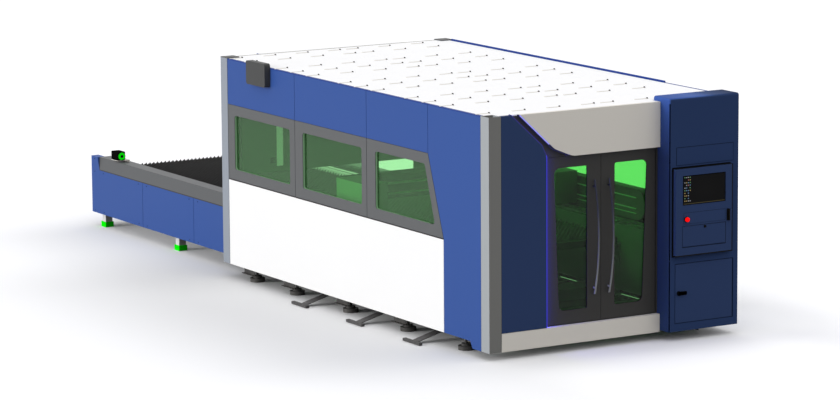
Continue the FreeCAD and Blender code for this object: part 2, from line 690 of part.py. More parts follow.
def console_cabinet():
    body = box(CONSOLE_X, (CONSOLE_FRONT, CONSOLE_HOOD_BACK), CONSOLE_Z)
    rounded = []
    for edge in body.Edges:
        middle = edge.CenterOfMass
        on_front = abs(middle.y - CONSOLE_FRONT) < 1.0
        on_top = abs(middle.z - CONSOLE_Z[1]) < 1.0
        on_side = abs(middle.x - CONSOLE_X[0]) < 1.0 or abs(middle.x - CONSOLE_X[1]) < 1.0
        if on_front + on_top + on_side == 2 and abs(middle.z - CONSOLE_Z[0]) > 1.0:
            rounded.append(edge)
    body = body.makeFillet(CONSOLE_ROUNDING, rounded)
    back = box(CONSOLE_X, (CONSOLE_HOOD_BACK - 1.0, CONSOLE_BACK), (CONSOLE_Z[0], ROOF_TOP - SEAM))
    inner_x = grown(CONSOLE_X, -SHEET)
    inner_y = grown((CONSOLE_FRONT, CONSOLE_BACK), -SHEET)
    lower = box(inner_x, inner_y, (CONSOLE_Z[0] + SHEET, CONSOLE_SHELF_Z[0]))
    upper = box(inner_x, inner_y, (CONSOLE_SHELF_Z[1], ROOF_TOP - 2 * SEAM))
    cover = box(NOTICE_X, (CONSOLE_FRONT - STRIP_PANEL_PROUD, CONSOLE_FRONT), NOTICE_Z)
    through = (CONSOLE_FRONT - 1.0, CONSOLE_FRONT + SHEET + 1.0)
    module_hole = box(grown(MODULE_X, -2 * SHEET), through, grown(MODULE_Z, -2 * SHEET))
    door_hole = box(grown(LOWER_DOOR_X, LOWER_DOOR_GAP), through, grown(LOWER_DOOR_Z, LOWER_DOOR_GAP))
    posts = []
    x, y = lower_door_pin()
    door_ends = grown(LOWER_DOOR_Z, LOWER_DOOR_GAP)
    for low, high, tip in ((door_ends[0] - 8.0, door_ends[0], LOWER_DOOR_Z[0] + 20.0),
                           (door_ends[1], door_ends[1] + 8.0, LOWER_DOOR_Z[1] - 20.0)):
        posts.append(box((x - 12.0, x + 12.0), (CONSOLE_FRONT, y + 12.0), (low, high)))
        posts.append(rod((x, y, (low + high) / 2), (x, y, tip), LATCH_SHAFT))
    hollow = weld(body, back).cut(lower).cut(upper).cut(door_hole)
    hollow = hollow.fuse(cover)
    return weld(hollow, *posts).cut(module_hole)


def lower_door_pin():
    return LOWER_DOOR_X[1] - LOWER_DOOR_THICKNESS / 2, CONSOLE_FRONT + LOWER_DOOR_THICKNESS / 2


def operator_panel():
    """The raised front module: screen cut-out, strip with the stop ring, pull and the keyboard bay."""
    in_console = (CONSOLE_FRONT, MODULE_Y[1])
    play = -2 * SHEET - 0.5
    neck = box(grown(MODULE_X, play), in_console, grown(MODULE_Z, play))
    shell = box(MODULE_X, (MODULE_Y[0], CONSOLE_FRONT), MODULE_Z).fuse(neck)
    wall = MODULE_WALL
    bay_z = grown(FLAP_Z, FLAP_GAP)
    inner_x = grown(MODULE_X, -2 * SHEET - wall)
    inner_y = (MODULE_Y[0] + wall, MODULE_Y[1] + wall)
    above = box(inner_x, inner_y, (bay_z[1] + wall, MODULE_Z[1] - 2 * SHEET - wall))
    bay = box(grown(FLAP_X, FLAP_GAP), (MODULE_Y[0] - 1.0, MODULE_Y[1] - wall), bay_z)
    screen_hole = box(SCREEN_X, (MODULE_Y[0] - 1.0, MODULE_Y[0] + 2 * wall), SCREEN_Z)
    strip = box(STRIP_PANEL_X, (MODULE_Y[0] - STRIP_PANEL_PROUD, MODULE_Y[0]), STRIP_PANEL_Z)
    x, z = STOP_BUTTON
    ring_front = MODULE_Y[0] - STRIP_PANEL_PROUD - STOP_RING[1]
    ring = rod((x, ring_front, z), (x, MODULE_Y[0], z), STOP_RING[0])
    stem_hole = rod((x, ring_front - 1.0, z), (x, MODULE_Y[1], z), STOP_STEM_RADIUS + SLIDE_CLEARANCE)
    pull_y = (MODULE_Y[0] - PULL_DEPTH, MODULE_Y[0])
    pull = box(PULL_X, pull_y, PULL_Z)
    pull = pull.makeFillet(6.0, [edge for edge in pull.Edges if abs(edge.CenterOfMass.y - pull_y[0]) < 1.0])
    pin_y, pin_z = flap_pin()
    pin_x = grown(FLAP_X, FLAP_PIN[1] + 3.0)
    pin_hole = rod((pin_x[0], pin_y, pin_z), (pin_x[1], pin_y, pin_z), FLAP_PIN[0] + PIN_CLEARANCE)
    body = shell.cut(above).cut(bay).cut(screen_hole)
    return weld(body, strip, ring, pull).cut(stem_hole).cut(pin_hole)


def screen():
    return box(SCREEN_X, SCREEN_Y, SCREEN_Z)


def emergency_stop():
    x, z = STOP_BUTTON
    head = rod((x, STOP_HEAD_Y[0], z), (x, STOP_HEAD_Y[1], z), STOP_HEAD_RADIUS)
    head = head.makeFillet(7.0, [edge for edge in head.Edges if edge.CenterOfMass.y < STOP_HEAD_Y[0] + 1.0
                                 and edge.Length > STOP_HEAD_RADIUS * math.pi])
    stem = rod((x, STOP_HEAD_Y[1], z), (x, STOP_STEM_BACK, z), STOP_STEM_RADIUS)
    return weld(head, stem)


def flap_pin():
    return MODULE_Y[0] + FLAP_THICKNESS / 2, FLAP_Z[0] + FLAP_THICKNESS / 2


def keyboard_flap():
    round_bottom = FLAP_THICKNESS / 2 - 0.01
    y = (MODULE_Y[0], MODULE_Y[0] + FLAP_THICKNESS)
    outline = [(y[0], FLAP_Z[0], round_bottom), (y[1], FLAP_Z[0], round_bottom), (y[1], FLAP_Z[1]),
               (y[0], FLAP_Z[1])]
    leaf = prism("X", FLAP_X, outline)
    pin_y, pin_z = flap_pin()
    radius, length = FLAP_PIN
    pin = rod((FLAP_X[0] - length, pin_y, pin_z), (FLAP_X[1] + length, pin_y, pin_z), radius)
    x, z, knob_radius, knob_length = KNOB
    knob = rod((x, y[0] - knob_length, z), (x, y[0] + 1.0, z), knob_radius)
    return weld(leaf, pin, knob)


def keyboard():
    """A keyboard fixed to the inside of the flap, its keys facing inwards while the flap is shut."""
    front = MODULE_Y[0] + FLAP_THICKNESS
    back = front + KEYBOARD_THICKNESS - KEY_HEIGHT
    base = box(KEYBOARD_X, (front, back), KEYBOARD_Z)
    step_x = (KEYBOARD_X[1] - KEYBOARD_X[0] - 20.0) / KEY_COLUMNS
    step_z = (KEYBOARD_Z[1] - KEYBOARD_Z[0] - 20.0) / KEY_ROWS
    keys = []
    for row in range(KEY_ROWS):
        for column in range(KEY_COLUMNS):
            x = KEYBOARD_X[0] + 10.0 + column * step_x
            z = KEYBOARD_Z[0] + 10.0 + row * step_z
            keys.append(box((x + KEY_GAP, x + step_x - KEY_GAP), (back, back + KEY_HEIGHT),
                            (z + KEY_GAP, z + step_z - KEY_GAP)))
    return weld(base, *keys)


def console_door():
    x, y = lower_door_pin()
    front = CONSOLE_FRONT
    back = front + LOWER_DOOR_THICKNESS
    corner = LOWER_DOOR_THICKNESS / 2 - 0.01
    near, hinge = LOWER_DOOR_X
    outline = [(near, front, 3.0), (hinge, front, corner), (hinge, back, corner), (near, back, 3.0)]
    leaf = prism("Z", LOWER_DOOR_Z, outline)
    bore = LATCH_SHAFT + PIN_CLEARANCE
    low = rod((x, y, LOWER_DOOR_Z[0] - 1.0), (x, y, LOWER_DOOR_Z[0] + 22.0), bore)
    high = rod((x, y, LOWER_DOOR_Z[1] - 22.0), (x, y, LOWER_DOOR_Z[1] + 1.0), bore)
    latch_x, latch_z = latch_middle()
    shaft = rod((latch_x, front - 1.0, latch_z), (latch_x, back + 1.0, latch_z), bore)
    return leaf.cut(low).cut(high).cut(shaft)


def latch_middle():
    half = (LATCH_Z[1] - LATCH_Z[0]) / 2
    return LATCH_X[0] + half, LATCH_Z[0] + half


def console_latch():
    """A lever turning on a shaft through the door, with a cam behind it."""
    x, z = latch_middle()
    front = CONSOLE_FRONT - SLIDE_CLEARANCE
    half = (LATCH_Z[1] - LATCH_Z[0]) / 2
    hub = rod((x, front - LATCH_PROUD, z), (x, front, z), half)
    lever = box((x, LATCH_X[1]), (front - LATCH_PROUD, front - LATCH_PROUD / 2), grown((z, z), half / 2))
    back = CONSOLE_FRONT + LOWER_DOOR_THICKNESS + SLIDE_CLEARANCE
    width, reach, thickness = LATCH_CAM
    shaft = rod((x, front, z), (x, back + thickness, z), LATCH_SHAFT)
    cam = box(grown((x, x), width / 2), (back, back + thickness), (z - width / 2, z + reach))
    return weld(hub, lever, shaft, cam)


# ---------------------------------------------------------------- bed, rails and drawers

def bed_frame():
    """Two box beams on cross members, with the hanging runners of the scrap drawers."""
    beam = tube(BED_BEAM_X, BED_BEAM_Y, BED_BEAM_Z, "Y", BED_WALL)
    across = (BASE_RAIL_X[1], CABIN_WIDTH - BASE_RAIL_X[1])
    crosses = [tube(across, y, BED_CROSS_Z, "X", TUBE_WALL) for y in BED_CROSS_Y]
    runners = []
    for middle in DRAWER_MIDDLES:
        for side in (-1, 1):
            near = middle + side * (DRAWER_HALF + RUNNER_GAP)
            far = near + side * RUNNER_PLATE
            lip = near - side * RUNNER_LEDGE
            plate = box(RUNNER_X, (min(near, far), max(near, far)), (RUNNER_Z[0], BED_CROSS_Z[0]))
            ledge = box(RUNNER_X, (min(lip, far), max(lip, far)), RUNNER_Z)
            runners.append(plate.fuse(ledge))
    return weld(beam, mirrored(beam), *crosses, *runners)


def y_rails():
    """Linear rails and racks on top of both bed beams."""
    top = BED_BEAM_Z[1]
    rail = box(Y_RAIL_X, Y_RAIL_Y, (top, top + Y_RAIL_HEIGHT))
    rack = box(RACK_X, Y_RAIL_Y, (top, top + RACK_HEIGHT))
    return both_sides(group(rail, rack))


def ledge_pair(web_x, y):
    """One side's web with the ledges of the upper and the lower level."""
    web = box(web_x, y, WEB_Z)
    upper_top = UPPER_LEVEL - PALLET_DEPTH - SLIDE_CLEARANCE
    ledges = []
    for drop in (0.0, LEVEL_STEP):
        ledges.append(box((web_x[0], LEDGE_X), y, (upper_top - drop - LEDGE, upper_top - drop)))
    return weld(web, *ledges)


def bed_pallet_rails():
    return both_sides(ledge_pair((BED_BEAM_X[1], WEB_X[1]), BED_RAILS_Y))


def scrap_drawer(number):
    """A sheet tray with its rod and T bar, which reach out under the side panel."""
    middle = DRAWER_MIDDLES[number]
    y = (middle - DRAWER_HALF, middle + DRAWER_HALF)
    pan = box(DRAWER_X, y, DRAWER_Z).cut(box(grown(DRAWER_X, -DRAWER_WALL), grown(y, -DRAWER_WALL),
                                             (DRAWER_Z[0] + DRAWER_WALL, DRAWER_Z[1] + 1.0)))
    width, thickness = T_ROD
    start = (sum(T_BAR_X) / 2, sum(T_BAR_Z) / 2 - thickness / 2)
    bend = (T_ROD_BEND, start[1] + (T_ROD_BEND - start[0]) * T_ROD_SLOPE)
    end = (DRAWER_X[0] + 1.0, bend[1])
    below = [start, bend, end]
    outline = below + [(a, b + thickness) for a, b in reversed(below)]
    arm = prism("Y", grown((T_ROD_Y[number],) * 2, width / 2), outline)
    return weld(pan, arm, box(T_BAR_X, T_BAR_Y[number], T_BAR_Z))


def leveling_feet():
    """Round feet on studs under the base rails, with folded brackets round all but the front pair."""
    feet = []
    for number, y in enumerate(FOOT_Y):
        disc = rod((FOOT_X, y, 0.0), (FOOT_X, y, FOOT_DISC[1]), FOOT_DISC[0])
        hub = rod((FOOT_X, y, FOOT_DISC[1]), (FOOT_X, y, FOOT_HUB[1]), FOOT_HUB[0])
        stud = rod((FOOT_X, y, FOOT_HUB[1]), (FOOT_X, y, BASE_RAIL_Z[0]), FOOT_STUD)
        foot = [disc, hub, stud]
        if number > 0:
            along = (y + BRACKET_Y[0], y + BRACKET_Y[1])
            toe, back, reach = BRACKET_X
            high = BASE_RAIL_Z[0]
            foot.append(box((back, back + BRACKET_SHEET), along, (BRACKET_LOW, high)))
            foot.append(box((toe, back), along, (BRACKET_LOW, BRACKET_LOW + BRACKET_SHEET)))
            foot.append(box((back, reach), along, (high - BRACKET_SHEET, high)))
        feet.append(weld(*foot))
    return both_sides(group(*feet))


# ---------------------------------------------------------------- gantry

def gantry_beam():
    """The beam across the machine, its X rails, and the trucks that run on the Y rails."""
    beam = tube(BEAM_X, BEAM_Y, BEAM_Z, "X", BED_WALL)
    rails = [box(X_RAIL_X, (BEAM_Y[0] - X_RAIL_DEPTH, BEAM_Y[0]), z) for z in X_RAIL_Z]
    truck = [box(TRUCK_X, TRUCK_Y, TRUCK_Z)]
    top = BED_BEAM_Z[1]
    channel = box(grown(Y_RAIL_X, SLIDE_CLEARANCE), grown(TRUCK_Y, 10.0),
                  (top, top + Y_RAIL_HEIGHT + SLIDE_CLEARANCE))
    for start in (TRUCK_Y[0], TRUCK_Y[1] - BLOCK_LENGTH):
        block = box(BLOCK_X, (start, start + BLOCK_LENGTH), (top + 6.0, TRUCK_Z[0]))
        truck.append(block.cut(channel))
    truck = weld(*truck)
    return weld(beam, truck, mirrored(truck), *rails)


def gantry_covers():
    """A cover over each truck, the right-hand one longer; open below and cut away round the beam."""
    beam = box(grown(BEAM_X, COVER_GAP), grown(BEAM_Y, COVER_GAP), grown(BEAM_Z, COVER_GAP))
    left, right = [tray("Z", COVER_Z, rectangle(COVER_X, (front, COVER_REAR)), COVER_SHELL, "high").cut(beam)
                   for front in COVER_FRONTS]
    return group(left, mirrored(right))


def carriage():
    """A plate on four blocks that run on the beam's rails, carrying the upright rail of the head."""
    plate = box(CARRIAGE_X, CARRIAGE_Y, CARRIAGE_Z)
    blocks = []
    for low, high in X_RAIL_Z:
        channel = box(grown(BEAM_X, 10.0), (BEAM_Y[0] - X_RAIL_DEPTH - SLIDE_CLEARANCE, BEAM_Y[0]),
                      grown((low, high), SLIDE_CLEARANCE))
        for start in (CARRIAGE_X[0], CARRIAGE_X[1] - 70.0):
            block = box((start, start + 70.0), (CARRIAGE_Y[1], BEAM_Y[0] - 4.0), grown((low, high), 14.0))
            blocks.append(block.cut(channel))
    middle = sum(CARRIAGE_X) / 2
    rail = box(grown((middle, middle), Z_RAIL_WIDTH / 2), (CARRIAGE_Y[0] - Z_RAIL_DEPTH, CARRIAGE_Y[0]),
               CARRIAGE_Z)
    return weld(plate, rail, *blocks)


def cutting_head():
    middle = sum(CARRIAGE_X) / 2
    body = box(grown((middle, middle), HEAD_HALF), HEAD_Y, HEAD_Z)
    channel = box(grown((middle, middle), Z_RAIL_WIDTH / 2 + SLIDE_CLEARANCE),
                  (CARRIAGE_Y[0] - Z_RAIL_DEPTH - SLIDE_CLEARANCE, CARRIAGE_Y[0]), grown(HEAD_Z, 10.0))
    radius, tube_low = HEAD_TUBE
    barrel = rod((middle, HEAD_AXIS_Y, tube_low), (middle, HEAD_AXIS_Y, HEAD_Z[0] + 1.0), radius)
    tip = Part.makeCone(NOZZLE[0], radius, tube_low - NOZZLE[1], Vector(middle, HEAD_AXIS_Y, NOZZLE[1]))
    return weld(body.cut(channel), barrel, tip)


def chain_duct():
    """The covered duct on the right, with its front end rounded down and three ribs along it."""
    outline = [(DUCT_Y[0], DUCT_Z[0], DUCT_ROUNDING), (DUCT_Y[1], DUCT_Z[0]), (DUCT_Y[1], DUCT_Z[1]),
               (DUCT_Y[0], DUCT_Z[1], DUCT_ROUNDING)]
    duct = tray("X", DUCT_X, outline, SHEET)
    rib_x = (DUCT_X[0] - DUCT_RIB_PROUD, DUCT_X[0] + 1.0)
    ribs = [box(rib_x, (DUCT_Y[0] + DUCT_ROUNDING, DUCT_Y[1]), z) for z in DUCT_RIBS_Z]
    return weld(duct, *ribs)


# ---------------------------------------------------------------- pallets and rear gate

def pallet(front, top):
    y = (front, front + PALLET_LENGTH)
    z = (top - PALLET_DEPTH, top - SLAT_PROUD)
    outer = box(PALLET_X, y, z)
    return outer.cut(box(grown(PALLET_X, -PALLET_TUBE), grown(y, -PALLET_TUBE), grown(z, 1.0)))


def slats(front, top):
    first = front + PALLET_TUBE
    pitch = (PALLET_LENGTH - 2 * PALLET_TUBE) / SLAT_COUNT
    x = grown(PALLET_X, -PALLET_TUBE)
    z = (top - PALLET_DEPTH + SLAT_LIFT, top)
    bars = []
    for number in range(SLAT_COUNT):
        middle = first + (number + 0.5) * pitch
        bars.append(box(x, grown((middle, middle), SLAT_THICKNESS / 2), z))
    return group(*bars)


INNER = (INNER_PALLET_FRONT, UPPER_LEVEL)
OUTER = (INNER_PALLET_FRONT + PALLET_TRAVEL, UPPER_LEVEL - LEVEL_STEP)


def rear_wall():
    outline = rectangle(REAR_WALL_X, (PANEL_BOTTOM, ROOF_TOP - ROOF_THICKNESS))
    sheet = tray("Y", (CABIN_LENGTH - PANEL_DEPTH, CABIN_LENGTH), outline, SHEET, "high")
    return sheet.cut(box(REAR_OPENING_X, (CABIN_LENGTH - PANEL_DEPTH, CABIN_LENGTH + 1.0), REAR_OPENING_Z))


def gate_housing():
    """The hood over the raised gate, and the guides that hold the gate's edges below it."""
    hood = prism("Y", HOUSING_Y, HOUSING_OUTLINE)
    low = [(a, b - 2 * SHEET if b < HOUSING_OUTLINE[0][1] + 2 * SHEET else b)
           for a, b, _ in inset(HOUSING_OUTLINE, SHEET)]
    hood = hood.cut(prism("Y", grown(HOUSING_Y, -SHEET), low))
    slot = box((GATE_X[0] - 2.0, GUIDE_X[1] + 1.0), grown(GATE_Y, 0.5), grown(GUIDE_Z, 1.0))
    guide = box(GUIDE_X, GUIDE_Y, GUIDE_Z).cut(slot)
    other = mirrored(guide)
    return weld(hood, guide, other)


def rear_gate():
    return box(GATE_X, GATE_Y, GATE_Z)


# ---------------------------------------------------------------- exchange table

def table_panels():
    ends = (TABLE_START,) + TABLE_SEAMS + (END_NOTCH[0][0],)
    panels = []
    for front, rear in zip(ends, ends[1:]):
        seam = END_SEAM if rear == ends[-1] else SEAM
        outline = rectangle((front + SEAM, rear - seam), TABLE_Z)
        panels.append(tray("X", (TABLE_SIDE, TABLE_SIDE + TABLE_PANEL_DEPTH), outline, SHEET))
    return both_sides(group(*panels))


def table_guards():
    """Folded gray sheets over the blue panels: a leaning side, a flat top and a lip on the pallet's side."""
    low = TABLE_Z[1]
    y = (TABLE_RAILS_Y[0], END_COVER_FRONT - END_SEAM)
    outer, ridge, inner = TABLE_SIDE, TABLE_SIDE + GUARD_LEAN, GUARD_INNER
    lip = GUARD_RIDGE - GUARD_LIP
    section = [(outer, low), (ridge, GUARD_RIDGE, 2 * SHEET), (inner, GUARD_RIDGE, 2 * SHEET), (inner, lip),
               (inner - SHEET, lip), (inner - SHEET, GUARD_RIDGE - SHEET, SHEET),
               (ridge + SHEET, GUARD_RIDGE - SHEET, SHEET), (outer + SHEET, low)]
    fold = prism("Y", y, section)
    foot = box((outer, outer + TABLE_PANEL_DEPTH), y, (low, low + SHEET))
    notch, shoulder = END_NOTCH
    edge = notch[0] - END_SEAM
    beyond = [(edge, notch[1]), (edge, low - SHEET), (TABLE_END, low - SHEET),
              (TABLE_END, shoulder[1] + SHEET), (shoulder[0] - END_SEAM, shoulder[1] + SHEET)]
    return both_sides(weld(fold, foot).cut(prism("X", (0.0, CABIN_MIDDLE), beyond)))


def table_end_cover():
    """The blue cover across the far end, low in the middle, with a tall corner over each side panel."""
    x = (TABLE_SIDE, 2 * CABIN_MIDDLE - TABLE_SIDE)
    y = (END_COVER_FRONT, TABLE_END)
    low = TABLE_Z[0]
    notch, shoulder = END_NOTCH
    cover = box(x, y, (low, END_COVER_TOP)).cut(
        box(grown(x, -SHEET), grown(y, -SHEET), (low - 1.0, END_COVER_TOP - SHEET)))
    corner_x = (TABLE_SIDE, TABLE_SIDE + END_CORNER_WIDTH)
    corner = box(corner_x, y, (END_COVER_TOP, shoulder[1])).cut(
        box(grown(corner_x, -SHEET), grown(y, -SHEET), (END_COVER_TOP, shoulder[1] - SHEET)))
    outline = [(notch[0], low), (END_COVER_FRONT, low), shoulder, notch]
    cheek = prism("X", (TABLE_SIDE, TABLE_SIDE + SHEET), outline)
    side = weld(corner, cheek)
    return weld(cover, side, mirrored(side))


def table_frame():
    """Legs, long beams and cross beams, with the pallet rails of both levels."""
    half = LEG_WIDTH / 2
    legs = []
    for middle in LEG_MIDDLES:
        legs.append(tube(LEG_X, (middle - half, middle + half), (GREEN_FOOT[2], LEG_TOP), "Z", TUBE_WALL))
    beam_z = (LEG_TOP - CROSS_HEIGHT, LEG_TOP)
    legs.append(tube(LEG_X, (TABLE_RAILS_Y[0], LEG_MIDDLES[-1] + half), beam_z, "Y", TUBE_WALL))
    legs.append(ledge_pair(WEB_X, TABLE_RAILS_Y))
    side = weld(*legs[:-1])
    across = (LEG_X[1], 2 * CABIN_MIDDLE - LEG_X[1])
    cross_middles = (FRONT_CROSS,) + LEG_MIDDLES
    crosses = [tube(across, grown((y, y), half), beam_z, "X", TUBE_WALL) for y in cross_middles]
    return weld(side, mirrored(side), legs[-1], mirrored(legs[-1]), *crosses)


def table_feet():
    width, length, height = GREEN_FOOT
    middle = sum(LEG_X) / 2
    foot_x = grown((middle, middle), width / 2)
    feet = [box(foot_x, grown((y, y), length / 2), (0.0, height)) for y in LEG_MIDDLES]
    return both_sides(group(*feet))


def safety_sensor():
    """A light barrier: box, round lens and the bracket that holds it on the guard's flat top."""
    case = box(SENSOR_X, SENSOR_Y, SENSOR_Z)
    x, z, radius, depth = SENSOR_LENS
    lens = rod((x, SENSOR_Y[0] - depth, z), (x, SENSOR_Y[0], z), radius)
    shelf_x = (SENSOR_X[0], GUARD_INNER - GUARD_LIP)
    shelf = box(shelf_x, SENSOR_Y, (SENSOR_Z[0] - SENSOR_BRACKET, SENSOR_Z[0]))
    plate = box((shelf_x[1] - SENSOR_BRACKET, shelf_x[1]), SENSOR_Y, (GUARD_RIDGE, SENSOR_Z[0]))
    foot = box((shelf_x[1] - GUARD_LIP, shelf_x[1]), SENSOR_Y, (GUARD_RIDGE, GUARD_RIDGE + SENSOR_BRACKET))
    return group(case, lens, weld(shelf, plate, foot))


PIECES = {
    "bed_frame": bed_frame(),
    "y_rails": y_rails(),
    "bed_pallet_rails": bed_pallet_rails(),
    "cabin_frame": cabin_frame(),
    "front_left_post": front_left_post(),
    "rear_posts": rear_posts(),
    "left_upper_panels": upper_panels(),
    "left_front_panel": left_front_panel(),
    "left_lower_panel": lower_panel(),
    "left_window_frames": window_frames(),
    "left_window_panes": window_panes(),
    "right_upper_panels": right_upper_panels(),
    "right_front_panel": right_front_panel(),
    "right_lower_panel": mirrored(lower_panel()),
    "right_window_frames": mirrored(window_frames()),
    "right_window_panes": mirrored(window_panes()),
    "roof_panel": roof_panel(),
    "roof_clips": roof_clips(),
    "sign_box": sign_box(),
    "front_panel": front_panel(),
    "visor": visor(),
    "sill": sill(),
    "light_strip": light_strip(),
    "door_frame": door_frame(),
    "front_door_left": front_door_left(),
    "front_door_right": mirrored(front_door_left(), DOOR_SEAM),
    "door_pane_left": door_pane_left(),
    "door_pane_right": mirrored(door_pane_left(), DOOR_SEAM),
    "door_handle_left": door_handle_left(),
    "door_handle_right": mirrored(door_handle_left(), DOOR_SEAM),
    "console_cabinet": console_cabinet(),
    "operator_panel": operator_panel(),
    "screen": screen(),
    "emergency_stop": emergency_stop(),
    "keyboard_flap": keyboard_flap(),
    "keyboard": keyboard(),
    "console_door": console_door(),
    "console_latch": console_latch(),
    "leveling_feet": leveling_feet(),
    "scrap_drawer_1": scrap_drawer(0),
    "scrap_drawer_2": scrap_drawer(1),
    "scrap_drawer_3": scrap_drawer(2),
    "gantry_beam": gantry_beam(),
    "gantry_covers": gantry_covers(),
    "carriage": carriage(),
    "cutting_head": cutting_head(),
    "chain_duct": chain_duct(),
    "inner_pallet": pallet(*INNER),
    "inner_pallet_slats": slats(*INNER),
    "outer_pallet": pallet(*OUTER),
    "outer_pallet_slats": slats(*OUTER),
    "rear_wall": rear_wall(),
    "gate_housing": gate_housing(),
    "rear_gate": rear_gate(),
    "table_frame": table_frame(),
    "table_panels": table_panels(),
    "table_guards": table_guards(),
    "table_end_cover": table_end_cover(),
    "table_feet": table_feet(),
    "safety_sensor": safety_sensor(),
}

os.makedirs("parts", exist_ok=True)
for name, piece in PIECES.items():
    piece = piece.copy()
    piece.translate(-ORIGIN)
    piece.exportStep(os.path.join("parts", name + ".step"))
    state = "valid" if piece.isValid() else "INVALID"
    print(name, len(piece.Solids), "solids", round(piece.Volume / 1000), "cm3", state)
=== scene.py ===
import math

import bmesh
import bpy
from bpy.props import FloatProperty, FloatVectorProperty, IntProperty, PointerProperty
from mathutils import Matrix, Vector


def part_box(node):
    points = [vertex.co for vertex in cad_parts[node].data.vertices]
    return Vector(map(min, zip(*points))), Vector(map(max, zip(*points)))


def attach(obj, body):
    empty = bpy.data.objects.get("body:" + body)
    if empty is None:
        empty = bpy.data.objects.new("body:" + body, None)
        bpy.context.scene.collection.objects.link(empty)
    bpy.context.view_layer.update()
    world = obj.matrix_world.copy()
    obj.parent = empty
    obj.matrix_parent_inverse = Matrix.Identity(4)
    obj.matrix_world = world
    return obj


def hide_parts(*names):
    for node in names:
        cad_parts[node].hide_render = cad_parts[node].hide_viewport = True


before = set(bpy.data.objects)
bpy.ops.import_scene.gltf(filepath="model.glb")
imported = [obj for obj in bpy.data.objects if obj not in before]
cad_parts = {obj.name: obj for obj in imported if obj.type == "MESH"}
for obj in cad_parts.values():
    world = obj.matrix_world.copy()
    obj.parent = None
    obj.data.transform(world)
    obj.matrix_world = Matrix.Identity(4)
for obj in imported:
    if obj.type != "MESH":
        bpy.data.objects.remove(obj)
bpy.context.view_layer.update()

bl_info = {
    "name": "Laser Cutter Looks",
    "version": (1, 0, 0),
    "blender": (4, 5, 0),
    "location": "View3D > Sidebar > Laser Cutter",
    "description": "Finishes, slats, small fittings and the stage of an enclosed laser cutting machine",
    "category": "Object",
}

# The machine's own layout is in millimetres from the cabin's front left corner on the floor
LAYOUT_ORIGIN = Vector((1240.0, 4137.0, 0.0))
CABIN_MIDDLE = 1321.0
ROOF_TOP = 2225.0
CLIP_COLUMNS = (150.0, 530.0, 905.0, 1280.0, 1490.0, 1868.0, 2262.0)
CLIP_ROWS = (235.0, 855.0, 1166.0, 1477.0, 2097.0, 2408.0, 2719.0, 3339.0, 3650.0, 3961.0, 4581.0, 4892.0)
CLIP_BAR_HEIGHT, CLIP_HEAD_HEIGHT = 0.004, 0.0115
TABLE_SIDE = 215.0
TABLE_PANEL_ENDS = ((5070.0, 6123.0), (6123.0, 7286.0), (7286.0, 8310.0))
TABLE_PANEL_Z = (146.0, 623.0)
SCREW_INSET_Y = 95.0
SCREW_INSET_Z = 25.0
SCREW_HEIGHT = 0.004
END_CORNER_MIDDLE = 8425.0
END_CORNER_SCREWS = (171.0, 598.0, 738.0)
SLAT_COUNT = 53
EVERYWHERE = (-5000.0, 9000.0)

# The camera that sees the machine as the photograph does
CAMERA_PLACE = (-19.087, -32.6761, 7.1367)
CAMERA_YAW, CAMERA_PITCH, CAMERA_ROLL = 30.97014, 9.52945, -0.38398
CAMERA_LENS, CAMERA_SENSOR = 163.54, 36.0
CAMERA_CLIP = (1.0, 2000.0)
SUN_FROM = (-0.95, 0.2, 0.2)

# Painted shadows (shades) and painted light (lights) on the floor, in the layout: x, y, how far the change
# reaches in metres, and how strong it is
FLOOR_SHADES = (((-800.0, 2000.0), (1100.0, 5063.0), 2.1, 0.81),
                ((-300.0, 2427.0), (5063.0, 8001.0), 1.2, 0.90))
FLOOR_LIGHTS = (((4300.0, 18000.0), (-3000.0, 9000.0), 1.3, 0.20),
                ((600.0, 2600.0), (-2600.0, -900.0), 0.8, 0.12),
                ((2900.0, 3100.0), (100.0, 500.0), 0.7, 0.13))


def at(x, y, z):
    """A point of the machine's layout, in metres in the row frame."""
    return (Vector((x, y, z)) - LAYOUT_ORIGIN) / 1000.0


def span(x, y, z):
    """Two corners in the row frame from ranges of the machine's layout."""
    return at(x[0], y[0], z[0]), at(x[1], y[1], z[1])


def zone(x=EVERYWHERE, y=EVERYWHERE, z=EVERYWHERE):
    """One box for an accent, open along the axes that aren't given."""
    return (span(x, y, z),)


def ring(x, z, width):
    """Four boxes round a rectangle of the front, outside it."""
    outer_x, outer_z = (x[0] - width, x[1] + width), (z[0] - width, z[1] + width)
    return (zone(outer_x, z=(outer_z[0], z[0])) + zone(outer_x, z=(z[1], outer_z[1]))
            + zone((outer_x[0], x[0]), z=outer_z) + zone((x[1], outer_x[1]), z=outer_z))


# ---------------------------------------------------------------- settings

def paint(name, description, colour):
    return FloatVectorProperty(name=name, description=description, default=colour, size=3, min=0.0,
                               max=1.0, subtype="COLOR")


def length(name, description, metres):
    return FloatProperty(name=name, description=description, default=metres, min=0.0, unit="LENGTH",
                         precision=4)


def share(name, description, value):
    return FloatProperty(name=name, description=description, default=value, min=0.0, max=1.0,
                         subtype="FACTOR")


